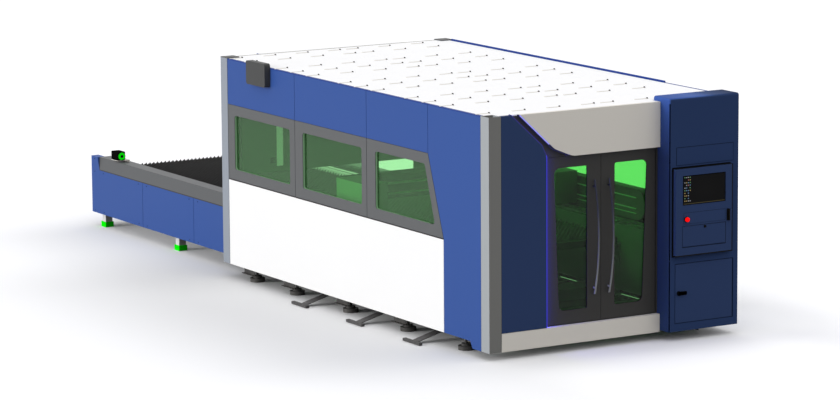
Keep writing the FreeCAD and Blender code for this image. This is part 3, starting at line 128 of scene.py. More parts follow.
class MachineColours(bpy.types.PropertyGroup):
    side_blue: paint("Side blue", "Paint of the cabin's side panels and the table", (0.036, 0.088, 0.308))
    # Painted shade: a darker blue band along the side panels' upper edge, where their top fold falls into shade
    edge_shade_blue: paint("Edge blue", "Upper edge of the side panels", (0.012, 0.045, 0.240))
    front_navy: paint("Front navy", "Paint of the front panel and the console", (0.027, 0.050, 0.130))
    groove_navy: paint("Groove navy", "Shadow lines round the console's plates", (0.010, 0.018, 0.042))
    frame_gray: paint("Frame gray", "Paint of the window frames and guards", (0.099, 0.103, 0.107))
    guard_gray: paint("Guard gray", "Paint of the table's guards", (0.086, 0.090, 0.094))
    sign_gray: paint("Sign gray", "Paint of the sign box", (0.046, 0.047, 0.047))
    # Painted light and shade on the front post: its left face is painted lighter and its other faces darker, as
    # the light falls
    post_side_lit: paint("Post, side", "Side face of the front post", (0.350, 0.371, 0.386))
    post_front_shaded: paint("Post, front", "Front face of the front post", (0.174, 0.174, 0.164))
    rear_gray: paint("Rear post gray", "Paint of the rear posts", (0.280, 0.310, 0.357))
    panel_white: paint("Panel white", "Paint of the roof and the lower panels", (0.920, 0.920, 0.920))
    visor_white: paint("Visor white", "Paint of the visor and the sill", (0.745, 0.712, 0.645))
    cover_gray: paint("Cover gray", "Paint of the gantry's covers and the carriage", (0.350, 0.350, 0.350))
    door_black: paint("Door black", "Paint of the doors and their frame", (0.050, 0.049, 0.046))
    # Painted shade: the cabin's frame is near black so that the seams between the panels read as shadow
    frame_dark: paint("Frame dark", "Paint of the cabin's frame", (0.025, 0.025, 0.027))
    enamel_gray: paint("Enamel gray", "Enamel of the bed and pallets", (0.190, 0.200, 0.210))
    # Painted light and shade on the table's frame: faces to the left take the lighter leg colour, the other
    # faces the darker enamel
    table_enamel: paint("Table enamel", "Enamel of the table's frame", (0.240, 0.240, 0.230))
    leg_side_lit: paint("Leg white", "Side faces of the table's legs", (0.700, 0.700, 0.690))
    beam_enamel: paint("Beam enamel", "Enamel of the gantry beam", (0.060, 0.062, 0.065))
    duct_gray: paint("Duct gray", "Sheet of the cable duct", (0.160, 0.160, 0.160))
    foot_enamel: paint("Foot enamel", "Enamel of the leveling feet", (0.012, 0.012, 0.013))
    drawer_gray: paint("Drawer gray", "Sheet of the scrap drawers", (0.100, 0.100, 0.105))
    rod_gray: paint("Rod gray", "Rods and handles of the scrap drawers", (0.035, 0.035, 0.038))
    inside_gray: paint("Inside gray", "Inner faces of the cabin", (0.250, 0.250, 0.250))
    inner_shade: paint("Inner shade", "Inner faces of the right side", (0.015, 0.015, 0.015))
    # Painted light: the edges round the side windows' panes are painted green and glow, standing in for light
    # seen through the panes
    reveal_glow_green: paint("Reveal green", "Edges round the side windows' panes", (0.200, 0.360, 0.200))
    # Painted shade: the dark gap along the lower edge of the table's guards
    guard_edge_shade: paint("Guard foot", "Lower edge of the table's guards", (0.020, 0.021, 0.024))
    cap_dark: paint("Cap dark", "Caps of the rear posts", (0.070, 0.068, 0.064))
    roof_rear: paint("Roof rear", "Rear edge of the roof", (0.300, 0.290, 0.250))
    slat_steel: paint("Slat steel", "Oxidised steel of the slats", (0.050, 0.048, 0.046))
    slat_bright: paint("Slat bright", "Newer steel of the inner pallet's slats", (0.420, 0.420, 0.410))
    clip_steel: paint("Clip steel", "Bars of the roof clips", (0.700, 0.680, 0.620))
    bright_steel: paint("Bright steel", "Ground steel of rails and bars", (0.560, 0.570, 0.580))
    glass_green: paint("Side glass", "Tint of the side windows' safety panes", (0.360, 0.840, 0.360))
    door_glass: paint("Door glass", "Tint of the doors' safety panes", (0.280, 0.820, 0.280))
    strip_front: paint("Strip front", "Light of the bars' front faces", (0.050, 0.046, 0.800))
    strip_glow: paint("Strip glow", "Light that the bars throw sideways", (0.040, 0.030, 1.000))
    # Painted light and shade on the table's feet: their left faces take foot green, their other faces the
    # darker front green
    foot_green: paint("Foot green", "Plastic of the table's feet and lamp lenses", (0.004, 0.900, 0.004))
    foot_front_shaded: paint("Foot green, front", "Front faces of the table's feet", (0.004, 0.500, 0.004))
    stop_red: paint("Stop red", "Plastic of the emergency stop", (0.900, 0.004, 0.004))
    plastic_black: paint("Plastic black", "Moulded black plastic", (0.005, 0.005, 0.005))


class SlatSettings(bpy.types.PropertyGroup):
    thickness: length("Thickness", "Sheet thickness of a slat", 0.006)
    tooth_pitch: length("Tooth pitch", "Distance between the teeth of a slat", 0.0470)
    tooth_depth: length("Tooth depth", "Depth of the notch between two teeth", 0.0300)
    count: IntProperty(name="Slats", description="Slats of one pallet", default=SLAT_COUNT, min=2, max=200)


class FittingSettings(bpy.types.PropertyGroup):
    clip_length: length("Clip bar length", "Length of a roof clip's bar", 0.1400)
    clip_width: length("Clip bar width", "Width of a roof clip's bar", 0.0180)
    clip_head: length("Clip head radius", "Radius of a roof clip's bolt head", 0.0100)
    screw_radius: length("Screw radius", "Radius of a panel screw's head", 0.0070)
    icon_size: length("Icon size", "Width of one icon on the screen", 0.0090)
    icon_seed: IntProperty(name="Icon seed", description="Choice of icons on the screen", default=7, min=0)


class StageSettings(bpy.types.PropertyGroup):
    sun_strength: FloatProperty(name="Sun strength", description="Soft light from the back left",
                                default=1.80, min=0.0)
    sun_size: FloatProperty(name="Sun size", description="Angle that the soft light fills", default=0.5,
                            min=0.0, max=3.0, subtype="ANGLE")
    sky_level: share("Sky level", "Brightness of the plain surroundings on dull surfaces", 0.97)
    floor_bounce: share("Floor bounce", "Share of light that the floor sends back up", 0.15)
    floor_half: length("Floor half size", "Half the width of the floor", 260.0)


# ---------------------------------------------------------------- node helpers

def fill(tree, made, inputs):
    """Links or sets the sockets of a node."""
    for key, value in inputs.items():
        if isinstance(value, bpy.types.NodeSocket):
            tree.links.new(value, made.inputs[key])
        else:
            made.inputs[key].default_value = value


def node(tree, kind, inputs=None, **settings):
    """A node with its settings made and its sockets filled or linked."""
    made = tree.nodes.new(kind)
    for key, value in settings.items():
        setattr(made, key, value)
    fill(tree, made, inputs or {})
    return made


def use_group(tree, group, inputs):
    """A shader group in a material, with its sockets filled; gives its outputs."""
    made = tree.nodes.new("ShaderNodeGroup")
    made.node_tree = group
    fill(tree, made, inputs)
    return made.outputs


def calculate(tree, operation, *values):
    """One step of arithmetic on numbers."""
    return node(tree, "ShaderNodeMath", dict(enumerate(values)), operation=operation).outputs[0]


def reckon(tree, operation, *values, **named):
    """One step of vector arithmetic; a length or a dot product comes out as a number."""
    made = node(tree, "ShaderNodeVectorMath", {**dict(enumerate(values)), **named}, operation=operation)
    return made.outputs["Value" if operation in ("LENGTH", "DOT_PRODUCT") else "Vector"]


def part_of(tree, vector, axis):
    return node(tree, "ShaderNodeSeparateXYZ", {0: vector}).outputs["XYZ".index(axis)]


def combined(tree, parts):
    """A vector from its parts, given as {axis number: value}."""
    return node(tree, "ShaderNodeCombineXYZ", parts).outputs[0]


def noise(tree, position, scale, detail=2.0):
    return node(tree, "ShaderNodeTexNoise", {"Vector": position, "Scale": scale, "Detail": detail}).outputs[0]


def rgba(colour):
    """A colour with full alpha."""
    return (colour[0], colour[1], colour[2], 1.0)


def mixed(tree, mask, first, second):
    return node(tree, "ShaderNodeMix", {0: mask, 6: first, 7: second}, data_type="RGBA").outputs[2]


def ramp(tree, factor, stops, interpolation="LINEAR"):
    """Colours at places from 0 to 1."""
    made = node(tree, "ShaderNodeValToRGB", {"Fac": factor})
    colours = made.color_ramp
    colours.interpolation = interpolation
    while len(colours.elements) < len(stops):
        colours.elements.new(1.0)
    for element, (place, colour) in zip(colours.elements, stops):
        element.position = place
        element.color = rgba(colour)
    return made.outputs[0]


def facing(tree, axis):
    """1 on faces that look against an axis of the object's own space."""
    normal = node(tree, "ShaderNodeTexCoord").outputs["Normal"]
    return calculate(tree, "LESS_THAN", part_of(tree, normal, axis), -0.5)


def sockets(tree, direction, listed):
    for label, kind, *default in listed:
        made = tree.interface.new_socket(label, in_out=direction, socket_type="NodeSocket" + kind)
        if default:
            made.default_value = default[0]


# ---------------------------------------------------------------- shared effects

BOX = (("Position", "Vector"), ("Middle", "Vector"), ("Half Size", "Vector"))
GRAIN = (("Colour", "Color"), ("Roughness", "Float"), ("Height", "Float"))


def shader_group(name, inputs, outputs):
    """Marks a function that fills a node group. It is built at its first use and kept for the others."""
    def marked(build):
        def group():
            if name not in bpy.data.node_groups:
                tree = bpy.data.node_groups.new(name, "ShaderNodeTree")
                sockets(tree, "INPUT", inputs)
                sockets(tree, "OUTPUT", outputs)
                build(tree, node(tree, "NodeGroupInput").outputs, node(tree, "NodeGroupOutput").inputs)
            return bpy.data.node_groups[name]
        return group
    return marked


def past_box(tree, given):
    """How far a point lies past the faces of a box, along each axis."""
    away = reckon(tree, "ABSOLUTE", reckon(tree, "SUBTRACT", given["Position"], given["Middle"]))
    return reckon(tree, "SUBTRACT", away, given["Half Size"])


def grained(tree, given, result, pattern, toning, dulling, height):
    """Tone and gloss that swing with a pattern."""
    swing = calculate(tree, "SUBTRACT", pattern, 0.5)
    tone = calculate(tree, "MULTIPLY_ADD", swing, toning, 1.0)
    tree.links.new(reckon(tree, "SCALE", given["Colour"], Scale=tone), result["Colour"])
    tree.links.new(calculate(tree, "MULTIPLY_ADD", swing, dulling, given["Roughness"]), result["Roughness"])
    tree.links.new(height, result["Height"])


@shader_group("Box Mask", BOX, (("Mask", "Float"),))
def box_mask(tree, given, result):
    """1 inside a box of the object's own space, 0 outside."""
    parts = node(tree, "ShaderNodeSeparateXYZ", {0: past_box(tree, given)}).outputs
    furthest = calculate(tree, "MAXIMUM", calculate(tree, "MAXIMUM", parts[0], parts[1]), parts[2])
    tree.links.new(calculate(tree, "LESS_THAN", furthest, 0.0), result["Mask"])


@shader_group("Coat Grain", (("Position", "Vector"), ("Colour", "Color"), ("Tone Change", "Float", 0.05),
                             ("Patch Scale", "Float", 1.3), ("Grain Scale", "Float", 450.0),
                             ("Roughness", "Float", 0.45)), GRAIN)
def coat_grain(tree, given, result):
    """Powder coat: slow changes of tone and gloss, and the fine skin of the coat."""
    patch = noise(tree, given["Position"], given["Patch Scale"], 3.0)
    skin = noise(tree, given["Position"], given["Grain Scale"])
    grained(tree, given, result, patch, given["Tone Change"], 0.12, skin)


@shader_group("Brushed Metal", (("Position", "Vector"), ("Stretch", "Vector"), ("Colour", "Color"),
                                ("Streak", "Float", 0.12), ("Roughness", "Float", 0.3)), GRAIN)
def brushed_metal(tree, given, result):
    """Fine streaks along one direction, with a slow change of tone."""
    streaks = noise(tree, reckon(tree, "MULTIPLY", given["Position"], given["Stretch"]), 1.0, 4.0)
    grained(tree, given, result, streaks, given["Streak"], 0.25, streaks)


@shader_group("Footprint Shade", BOX + (("Reach", "Float", 1.0), ("Darkest", "Float", 0.8)),
              (("Light", "Float"),))
def footprint_shade(tree, given, result):
    """A share of light that falls off towards a box on the floor."""
    outside = reckon(tree, "MAXIMUM", past_box(tree, given), (0.0, 0.0, 0.0))
    light = node(tree, "ShaderNodeMapRange", {
        "Value": reckon(tree, "LENGTH", outside), "From Min": 0.0, "From Max": given["Reach"],
        "To Min": given["Darkest"], "To Max": 1.0}, interpolation_type="SMOOTHSTEP").outputs[0]
    tree.links.new(light, result["Light"])


@shader_group("Floor Dust", (("Position", "Vector"), ("Reach", "Float", 0.3), ("Amount", "Float", 0.3)),
              (("Mask", "Float"),))
def floor_dust(tree, given, result):
    """A mask of dust that thins out with the height above the floor."""
    fade = node(tree, "ShaderNodeMapRange", {
        "Value": part_of(tree, given["Position"], "Z"), "From Min": 0.0, "From Max": given["Reach"],
        "To Min": given["Amount"], "To Max": 0.0}).outputs[0]
    clouds = noise(tree, given["Position"], 14.0, 5.0)
    tree.links.new(calculate(tree, "MULTIPLY", fade, clouds), result["Mask"])


# ---------------------------------------------------------------- materials

DUST = (0.42, 0.40, 0.37)
DUST_REACH = 0.35
NO_LIGHT = (0.0, 0.0, 0.0)
COAT_SKIN = 0.0006
METAL_SKIN = 0.0003

# The light bar: its upright part ends at the first height, and from the second its slant carries a painted
# highlight of the visor's edge.
# Along the outward direction of the slant, the visor's edge lies past the reach.
BAR_UPRIGHT_TOP = 1.83
BAR_HIGHLIGHT_FROM = 1.93
BAR_OUTWARD = (0.67, 0.0, 0.74)
BAR_VISOR_REACH = 1.835
BAR_SHOULDER = (0.026, 0.026, 0.180)
BAR_VISOR_DIM = (0.012, 0.012, 0.050)
BAR_VISOR_HIGHLIGHT = (0.300, 0.300, 1.000)
BAR_THROW = 13.0


def blank_material(name):
    made = bpy.data.materials.new(name)
    made.use_nodes = True
    tree = made.node_tree
    tree.nodes.clear()
    shader = node(tree, "ShaderNodeBsdfPrincipled")
    output = node(tree, "ShaderNodeOutputMaterial", {"Surface": shader.outputs[0]})
    position = node(tree, "ShaderNodeTexCoord").outputs["Object"]
    return made, tree, shader, output, position


def inside_boxes(tree, position, boxes):
    """A mask that is 1 in any of the boxes, given by two corners in the row frame."""
    mask = None
    for low, high in boxes:
        low, high = Vector(low), Vector(high)
        one = use_group(tree, box_mask(), {"Position": position, "Middle": (low + high) / 2,
                                           "Half Size": (high - low) / 2})["Mask"]
        mask = one if mask is None else calculate(tree, "MAXIMUM", mask, one)
    return mask


def tint_of(tree, position, colour):
    """A plain colour, or one graded along an axis: (axis, ((millimetres, colour), ...))."""
    if not isinstance(colour[0], str):
        return rgba(colour)
    axis, stops = colour
    places = [(mm - LAYOUT_ORIGIN["XYZ".index(axis)]) / 1000.0 for mm, _ in stops]
    run = node(tree, "ShaderNodeMapRange", {"Value": part_of(tree, position, axis), "From Min": places[0],
                                            "From Max": places[-1]}).outputs[0]
    return ramp(tree, run, [((place - places[0]) / (places[-1] - places[0]), tint)
                            for place, (_, tint) in zip(places, stops)])


def coated(name, colour, roughness=0.42, gloss=0.3, tone=0.05, bump=0.06, accents=(), dust=0.0, side=None,
           lit=None):
    """Powder coat or enamel. Side is the colour of faces to the left, painted light or shade that stands for
    how light falls on them;
    each accent fills boxes of the row frame. Lit is the boxes that glow as painted light, and its strength."""
    made, tree, shader, _, position = blank_material(name)
    tint = tint_of(tree, position, colour)
    if side is not None:
        tint = mixed(tree, facing(tree, "X"), tint, tint_of(tree, position, side))
    for accent, boxes in accents:
        tint = mixed(tree, inside_boxes(tree, position, boxes), tint, tint_of(tree, position, accent))
    grain = use_group(tree, coat_grain(), {"Position": position, "Colour": tint, "Tone Change": tone,
                                           "Roughness": roughness})
    surface = grain["Colour"]
    if dust:
        dusty = use_group(tree, floor_dust(), {"Position": position, "Reach": DUST_REACH, "Amount": dust})
        surface = mixed(tree, dusty["Mask"], surface, rgba(DUST))
    skin = node(tree, "ShaderNodeBump", {"Strength": bump, "Distance": COAT_SKIN, "Height": grain["Height"]})
    fill(tree, shader, {"Base Color": surface, "Roughness": grain["Roughness"], "Normal": skin.outputs[0],
                        "Specular IOR Level": gloss})
    if lit is not None:
        boxes, strength = lit
        glow = mixed(tree, inside_boxes(tree, position, boxes), rgba(NO_LIGHT), surface)
        fill(tree, shader, {"Emission Color": glow, "Emission Strength": strength})
    return made


def metal(name, colour, stretch, roughness=0.32, streak=0.2, metallic=1.0):
    """Brushed or rolled metal; the stretch is high across the streaks and low along them."""
    made, tree, shader, _, position = blank_material(name)
    grain = use_group(tree, brushed_metal(), {"Position": position, "Stretch": stretch, "Colour": rgba(colour),
                                              "Streak": streak, "Roughness": roughness})
    skin = node(tree, "ShaderNodeBump", {"Strength": 0.05, "Distance": METAL_SKIN, "Height": grain["Height"]})
    fill(tree, shader, {"Base Color": grain["Colour"], "Roughness": grain["Roughness"],
                        "Normal": skin.outputs[0], "Metallic": metallic})
    return made


def safety_glass(name, colour, clearness, ior, passed):
    """Tinted pane: light passes it in the passed colour, and the eye sees the tint and a faint veil."""
    made, tree, shader, output, position = blank_material(name)
    grain = use_group(tree, coat_grain(), {"Position": position, "Colour": rgba(colour), "Tone Change": 0.04,
                                           "Patch Scale": 0.9, "Roughness": 0.02})
    fill(tree, shader, {"Base Color": grain["Colour"], "Roughness": 0.02, "Transmission Weight": clearness,
                        "IOR": ior})
    clear = node(tree, "ShaderNodeBsdfTransparent", {"Color": rgba(passed)})
    rays = node(tree, "ShaderNodeLightPath").outputs
    passing = calculate(tree, "MAXIMUM", rays["Is Shadow Ray"], rays["Is Diffuse Ray"])
    both = node(tree, "ShaderNodeMixShader", {0: passing, 1: shader.outputs[0], 2: clear.outputs[0]})
    tree.links.new(both.outputs[0], output.inputs["Surface"])
    return made


# Painted light: plastic that glows with its own colour, though it is no lamp
def painted_glow_plastic(name, colour, strength, roughness=0.35):
    made, tree, shader, _, position = blank_material(name)
    grain = use_group(tree, coat_grain(), {"Position": position, "Colour": rgba(colour), "Tone Change": 0.08,
                                           "Patch Scale": 20.0, "Roughness": roughness})
    fill(tree, shader, {"Base Color": grain["Colour"], "Emission Color": grain["Colour"],
                        "Emission Strength": strength, "Roughness": grain["Roughness"],
                        "Specular IOR Level": 0.02})
    return made


def light_bar(name, front, glow):
    """A diffuser: violet on the panel's upright edge, faint on its shoulder, and along the visor a painted
    highlight of the visor's edge, bright from its upper part. The upright part throws its light to the right."""
    made, tree, shader, _, position = blank_material(name)
    base = use_group(tree, coat_grain(), {"Position": position, "Colour": rgba(front), "Tone Change": 0.1,
                                          "Patch Scale": 6.0})
    across = reckon(tree, "DOT_PRODUCT", reckon(tree, "SUBTRACT", position, at(0.0, 0.0, 0.0)), BAR_OUTWARD)
    on_visor = calculate(tree, "GREATER_THAN", across, BAR_VISOR_REACH)
    height = part_of(tree, position, "Z")
    upright = calculate(tree, "LESS_THAN", height, BAR_UPRIGHT_TOP)
    edge = mixed(tree, upright, rgba(BAR_SHOULDER), base["Colour"])
    high = calculate(tree, "MULTIPLY", facing(tree, "Y"),
                     calculate(tree, "GREATER_THAN", height, BAR_HIGHLIGHT_FROM))
    slant = mixed(tree, high, rgba(BAR_VISOR_DIM), rgba(BAR_VISOR_HIGHLIGHT))
    normal = node(tree, "ShaderNodeTexCoord").outputs["Normal"]
    to_right = calculate(tree, "GREATER_THAN", part_of(tree, normal, "X"), 0.3)
    light = mixed(tree, to_right, mixed(tree, on_visor, edge, slant), rgba(glow))
    throw = calculate(tree, "MULTIPLY", to_right, upright)
    fill(tree, shader, {"Emission Color": light, "Roughness": base["Roughness"],
                        "Emission Strength": calculate(tree, "MULTIPLY_ADD", throw, BAR_THROW, 1.0),
                        "Base Color": (0.004, 0.004, 0.012, 1.0), "Specular IOR Level": 0.1})
    return made


def screen_glass(name):
    """Dark display glass, a little lighter towards its middle, with a thin lit line along its foot."""
    made, tree, shader, _, position = blank_material(name)
    low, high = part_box("screen")
    away = reckon(tree, "SUBTRACT", position, (low + high) / 2)
    reach = reckon(tree, "LENGTH", reckon(tree, "MULTIPLY", away, (4.0, 0.0, 7.0)))
    fade = ramp(tree, reach, ((0.0, (0.0022, 0.0020, 0.0022)), (1.0, (0.0010, 0.0010, 0.0012))))
    line = (low - Vector((1.0, 1.0, 0.001)), Vector((high.x, high.y, low.z + 0.007)))
    light = mixed(tree, inside_boxes(tree, position, [line]), fade, (0.045, 0.038, 0.016, 1.0))
    fill(tree, shader, {"Emission Color": light, "Emission Strength": 1.0, "Roughness": 0.3,
                        "Base Color": (0.006, 0.006, 0.006, 1.0), "Specular IOR Level": 0.03})
    return made


def icon_light(name):
    """Small lit icons, each with its own colour."""
    made, tree, shader, _, _ = blank_material(name)
    tone = node(tree, "ShaderNodeAttribute", None, attribute_name="icon_tone").outputs["Fac"]
    light = ramp(tree, tone, ((0.0, (0.22, 0.22, 0.24)), (0.35, (0.06, 0.14, 0.26)), (0.55, (0.26, 0.19, 0.06)),
                              (0.75, (0.08, 0.20, 0.09)), (0.9, (0.24, 0.07, 0.06))), "CONSTANT")
    fill(tree, shader, {"Emission Color": light, "Emission Strength": 0.6, "Base Color": light,
                        "Roughness": 0.4})
    return made


FINISHES = {}


def finish(name):
    if name not in FINISHES:
        raise RuntimeError("the finishes come first: run the paint operator before the pieces")
    return FINISHES[name]


# ---------------------------------------------------------------- mesh helpers

def add_block(bm, low, high, radius, slot_index, segments=2):
    """A block with rounded edges; corners in metres in the row frame."""
    before = set(bm.faces)
    corners = bmesh.ops.create_cube(bm, size=1.0)["verts"]
    low, high = Vector(low), Vector(high)
    size, middle = high - low, (high + low) / 2
    for corner in corners:
        corner.co = Vector(corner.co[i] * size[i] + middle[i] for i in range(3))
    if radius > 0.0:
        edges = {edge for corner in corners for edge in corner.link_edges}
        bmesh.ops.bevel(bm, geom=list(edges), offset=radius, segments=segments, profile=0.5, affect="EDGES")
    for face in set(bm.faces) - before:
        face.material_index = slot_index


def add_round(bm, start, end, radius, slot_index, sides=24, end_radius=None, rim=0.0):
    """A round piece between two points, with a softened rim if one is given."""
    before = set(bm.faces)
    start, end = Vector(start), Vector(end)
    run = end - start
    turn = run.to_track_quat("Z", "Y").to_matrix().to_4x4()
    place = Matrix.Translation((start + end) / 2) @ turn
    made = bmesh.ops.create_cone(bm, cap_ends=True, segments=sides, radius1=radius,
                                 radius2=radius if end_radius is None else end_radius, depth=run.length,
                                 matrix=place)
    if rim > 0.0:
        edges = {edge for corner in made["verts"] for edge in corner.link_edges
                 if any(len(face.verts) > 4 for face in edge.link_faces)}
        bmesh.ops.bevel(bm, geom=list(edges), offset=rim, segments=2, profile=0.5, affect="EDGES")
    for face in set(bm.faces) - before:
        face.material_index = slot_index


def piece(name, bm, finishes, body, smooth=True):
    """The finished mesh as a piece that rides on its body."""
    bmesh.ops.recalc_face_normals(bm, faces=bm.faces)
    mesh = bpy.data.meshes.new(name)
    bm.to_mesh(mesh)
    bm.free()
    for one in finishes:
        mesh.materials.append(finish(one))
    if smooth:
        mesh.polygons.foreach_set("use_smooth", [True] * len(mesh.polygons))
        mesh.set_sharp_from_angle(angle=math.radians(35.0))
    made = bpy.data.objects.new(name, mesh)
    bpy.context.scene.collection.objects.link(made)
    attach(made, body)
    return made


def geometry_tree(name, inputs):
    tree = bpy.data.node_groups.new(name, "GeometryNodeTree")
    sockets(tree, "OUTPUT", (("Geometry", "Geometry"),))
    sockets(tree, "INPUT", (("Geometry", "Geometry"),) + tuple(inputs))
    return tree, node(tree, "NodeGroupInput").outputs, node(tree, "NodeGroupOutput").inputs


def grow(name, tree, values, points=()):
    """Runs a geometry tree on an object of loose points and keeps its result as a plain mesh."""
    mesh = bpy.data.meshes.new(name)
    mesh.from_pydata([tuple(point) for point in points], [], [])
    made = bpy.data.objects.new(name, mesh)
    bpy.context.scene.collection.objects.link(made)
    modifier = made.modifiers.new(tree.name, "NODES")
    modifier.node_group = tree
    names = {item.name: item.identifier for item in tree.interface.items_tree
             if item.item_type == "SOCKET" and item.in_out == "INPUT"}
    for label, value in values.items():
        modifier[names[label]] = value
    bpy.context.view_layer.update()
    solid = made.evaluated_get(bpy.context.evaluated_depsgraph_get())
    result = bpy.data.meshes.new_from_object(solid)
    made.modifiers.clear()
    made.data = result
    result.name = name
    if not len(result.polygons):
        raise RuntimeError(f"{name} came out empty")
    return made


def slat_tree():
    """Upright sheets in a row, each with a toothed upper edge."""
    tree, given, result = geometry_tree("Serrated Slats", (
        ("Length", "Float"), ("Height", "Float"), ("Thickness", "Float"), ("Teeth", "Int"),
        ("Tooth Depth", "Float"), ("Count", "Int"), ("First", "Vector"), ("Spacing", "Float"),
        ("Steel", "Material")))
    columns = calculate(tree, "MULTIPLY_ADD", given["Teeth"], 2.0, 1.0)
    sheet = node(tree, "GeometryNodeMeshGrid", {"Size X": given["Length"], "Size Y": given["Height"],
                                                "Vertices X": columns, "Vertices Y": 2}).outputs[0]
    place = calculate(tree, "MODULO", node(tree, "GeometryNodeInputIndex").outputs[0], 4.0)
    notch = calculate(tree, "GREATER_THAN", place, 2.5)
    drop = calculate(tree, "MULTIPLY", notch, calculate(tree, "MULTIPLY", given["Tooth Depth"], -1.0))
    toothed = node(tree, "GeometryNodeSetPosition", {"Geometry": sheet,
                                                     "Offset": combined(tree, {1: drop})}).outputs[0]
    thick = node(tree, "GeometryNodeExtrudeMesh", {"Mesh": toothed, "Offset Scale": given["Thickness"],
                                                   "Individual": False}, mode="FACES").outputs[0]
    back = node(tree, "GeometryNodeFlipFaces", {"Mesh": toothed}).outputs[0]
    closed = node(tree, "GeometryNodeJoinGeometry")
    tree.links.new(thick, closed.inputs[0])
    tree.links.new(back, closed.inputs[0])
    merged = node(tree, "GeometryNodeMergeByDistance", {"Geometry": closed.outputs[0],
                                                        "Distance": 0.00001}).outputs[0]
    upright = node(tree, "GeometryNodeTransform", {"Geometry": merged, "Rotation": (math.pi / 2, 0.0, 0.0)})
    step = combined(tree, {1: given["Spacing"]})
    row = node(tree, "GeometryNodeMeshLine", {"Count": given["Count"], "Start Location": given["First"],
                                              "Offset": step}, mode="OFFSET").outputs[0]
    slats = node(tree, "GeometryNodeInstanceOnPoints", {"Points": row, "Instance": upright.outputs[0]})
    real = node(tree, "GeometryNodeRealizeInstances", {"Geometry": slats.outputs[0]}).outputs[0]
    steel = node(tree, "GeometryNodeSetMaterial", {"Geometry": real, "Material": given["Steel"]}).outputs[0]
    tree.links.new(steel, result[0])
    return tree


def clip_tree():
    """A flat bar with a bolt head at its end, on every point."""
    tree, given, result = geometry_tree("Roof Clips", (
        ("Bar Length", "Float"), ("Bar Width", "Float"), ("Bar Height", "Float"), ("Head Radius", "Float"),
        ("Head Height", "Float"), ("Bar Finish", "Material"), ("Head Finish", "Material")))
    size = combined(tree, {0: given["Bar Length"], 1: given["Bar Width"], 2: given["Bar Height"]})
    bar = node(tree, "GeometryNodeMeshCube", {"Size": size}).outputs[0]
    bar_place = combined(tree, {0: calculate(tree, "MULTIPLY", given["Bar Length"], -0.5),
                                2: calculate(tree, "MULTIPLY", given["Bar Height"], 0.5)})
    bar = node(tree, "GeometryNodeTransform", {"Geometry": bar, "Translation": bar_place}).outputs[0]
    head = node(tree, "GeometryNodeMeshCone", {
        "Vertices": 8, "Radius Top": calculate(tree, "MULTIPLY", given["Head Radius"], 0.75),
        "Radius Bottom": given["Head Radius"], "Depth": given["Head Height"]}).outputs[0]
    is_head = node(tree, "GeometryNodeStoreNamedAttribute", {
        "Geometry": head, "Name": "is_head", "Value": True}, data_type="BOOLEAN", domain="FACE").outputs[0]
    both = node(tree, "GeometryNodeJoinGeometry")
    tree.links.new(bar, both.inputs[0])
    tree.links.new(is_head, both.inputs[0])
    clips = node(tree, "GeometryNodeInstanceOnPoints", {"Points": given["Geometry"],
                                                        "Instance": both.outputs[0]}).outputs[0]
    real = node(tree, "GeometryNodeRealizeInstances", {"Geometry": clips}).outputs[0]
    bars = node(tree, "GeometryNodeSetMaterial", {"Geometry": real, "Material": given["Bar Finish"]}).outputs[0]
    heads = node(tree, "GeometryNodeInputNamedAttribute", {"Name": "is_head"}, data_type="BOOLEAN").outputs[0]
    done = node(tree, "GeometryNodeSetMaterial", {"Geometry": bars, "Selection": heads,
                                                  "Material": given["Head Finish"]}).outputs[0]
    tree.links.new(done, result[0])
    return tree


def screw_tree():
    """A low round screw head on every point, turned to face out of its panel."""
    tree, given, result = geometry_tree("Panel Screws", (
        ("Radius", "Float"), ("Height", "Float"), ("Turn", "Vector"), ("Finish", "Material")))
    head = node(tree, "GeometryNodeMeshCone", {
        "Vertices": 10, "Radius Top": calculate(tree, "MULTIPLY", given["Radius"], 0.7),
        "Radius Bottom": given["Radius"], "Depth": given["Height"]}).outputs[0]
    turn = node(tree, "FunctionNodeEulerToRotation", {0: given["Turn"]}).outputs[0]
    screws = node(tree, "GeometryNodeInstanceOnPoints", {"Points": given["Geometry"], "Instance": head,
                                                         "Rotation": turn}).outputs[0]
    real = node(tree, "GeometryNodeRealizeInstances", {"Geometry": screws}).outputs[0]
    done = node(tree, "GeometryNodeSetMaterial", {"Geometry": real, "Material": given["Finish"]}).outputs[0]
    tree.links.new(done, result[0])
    return tree


ICON_THICKNESS = 0.0006


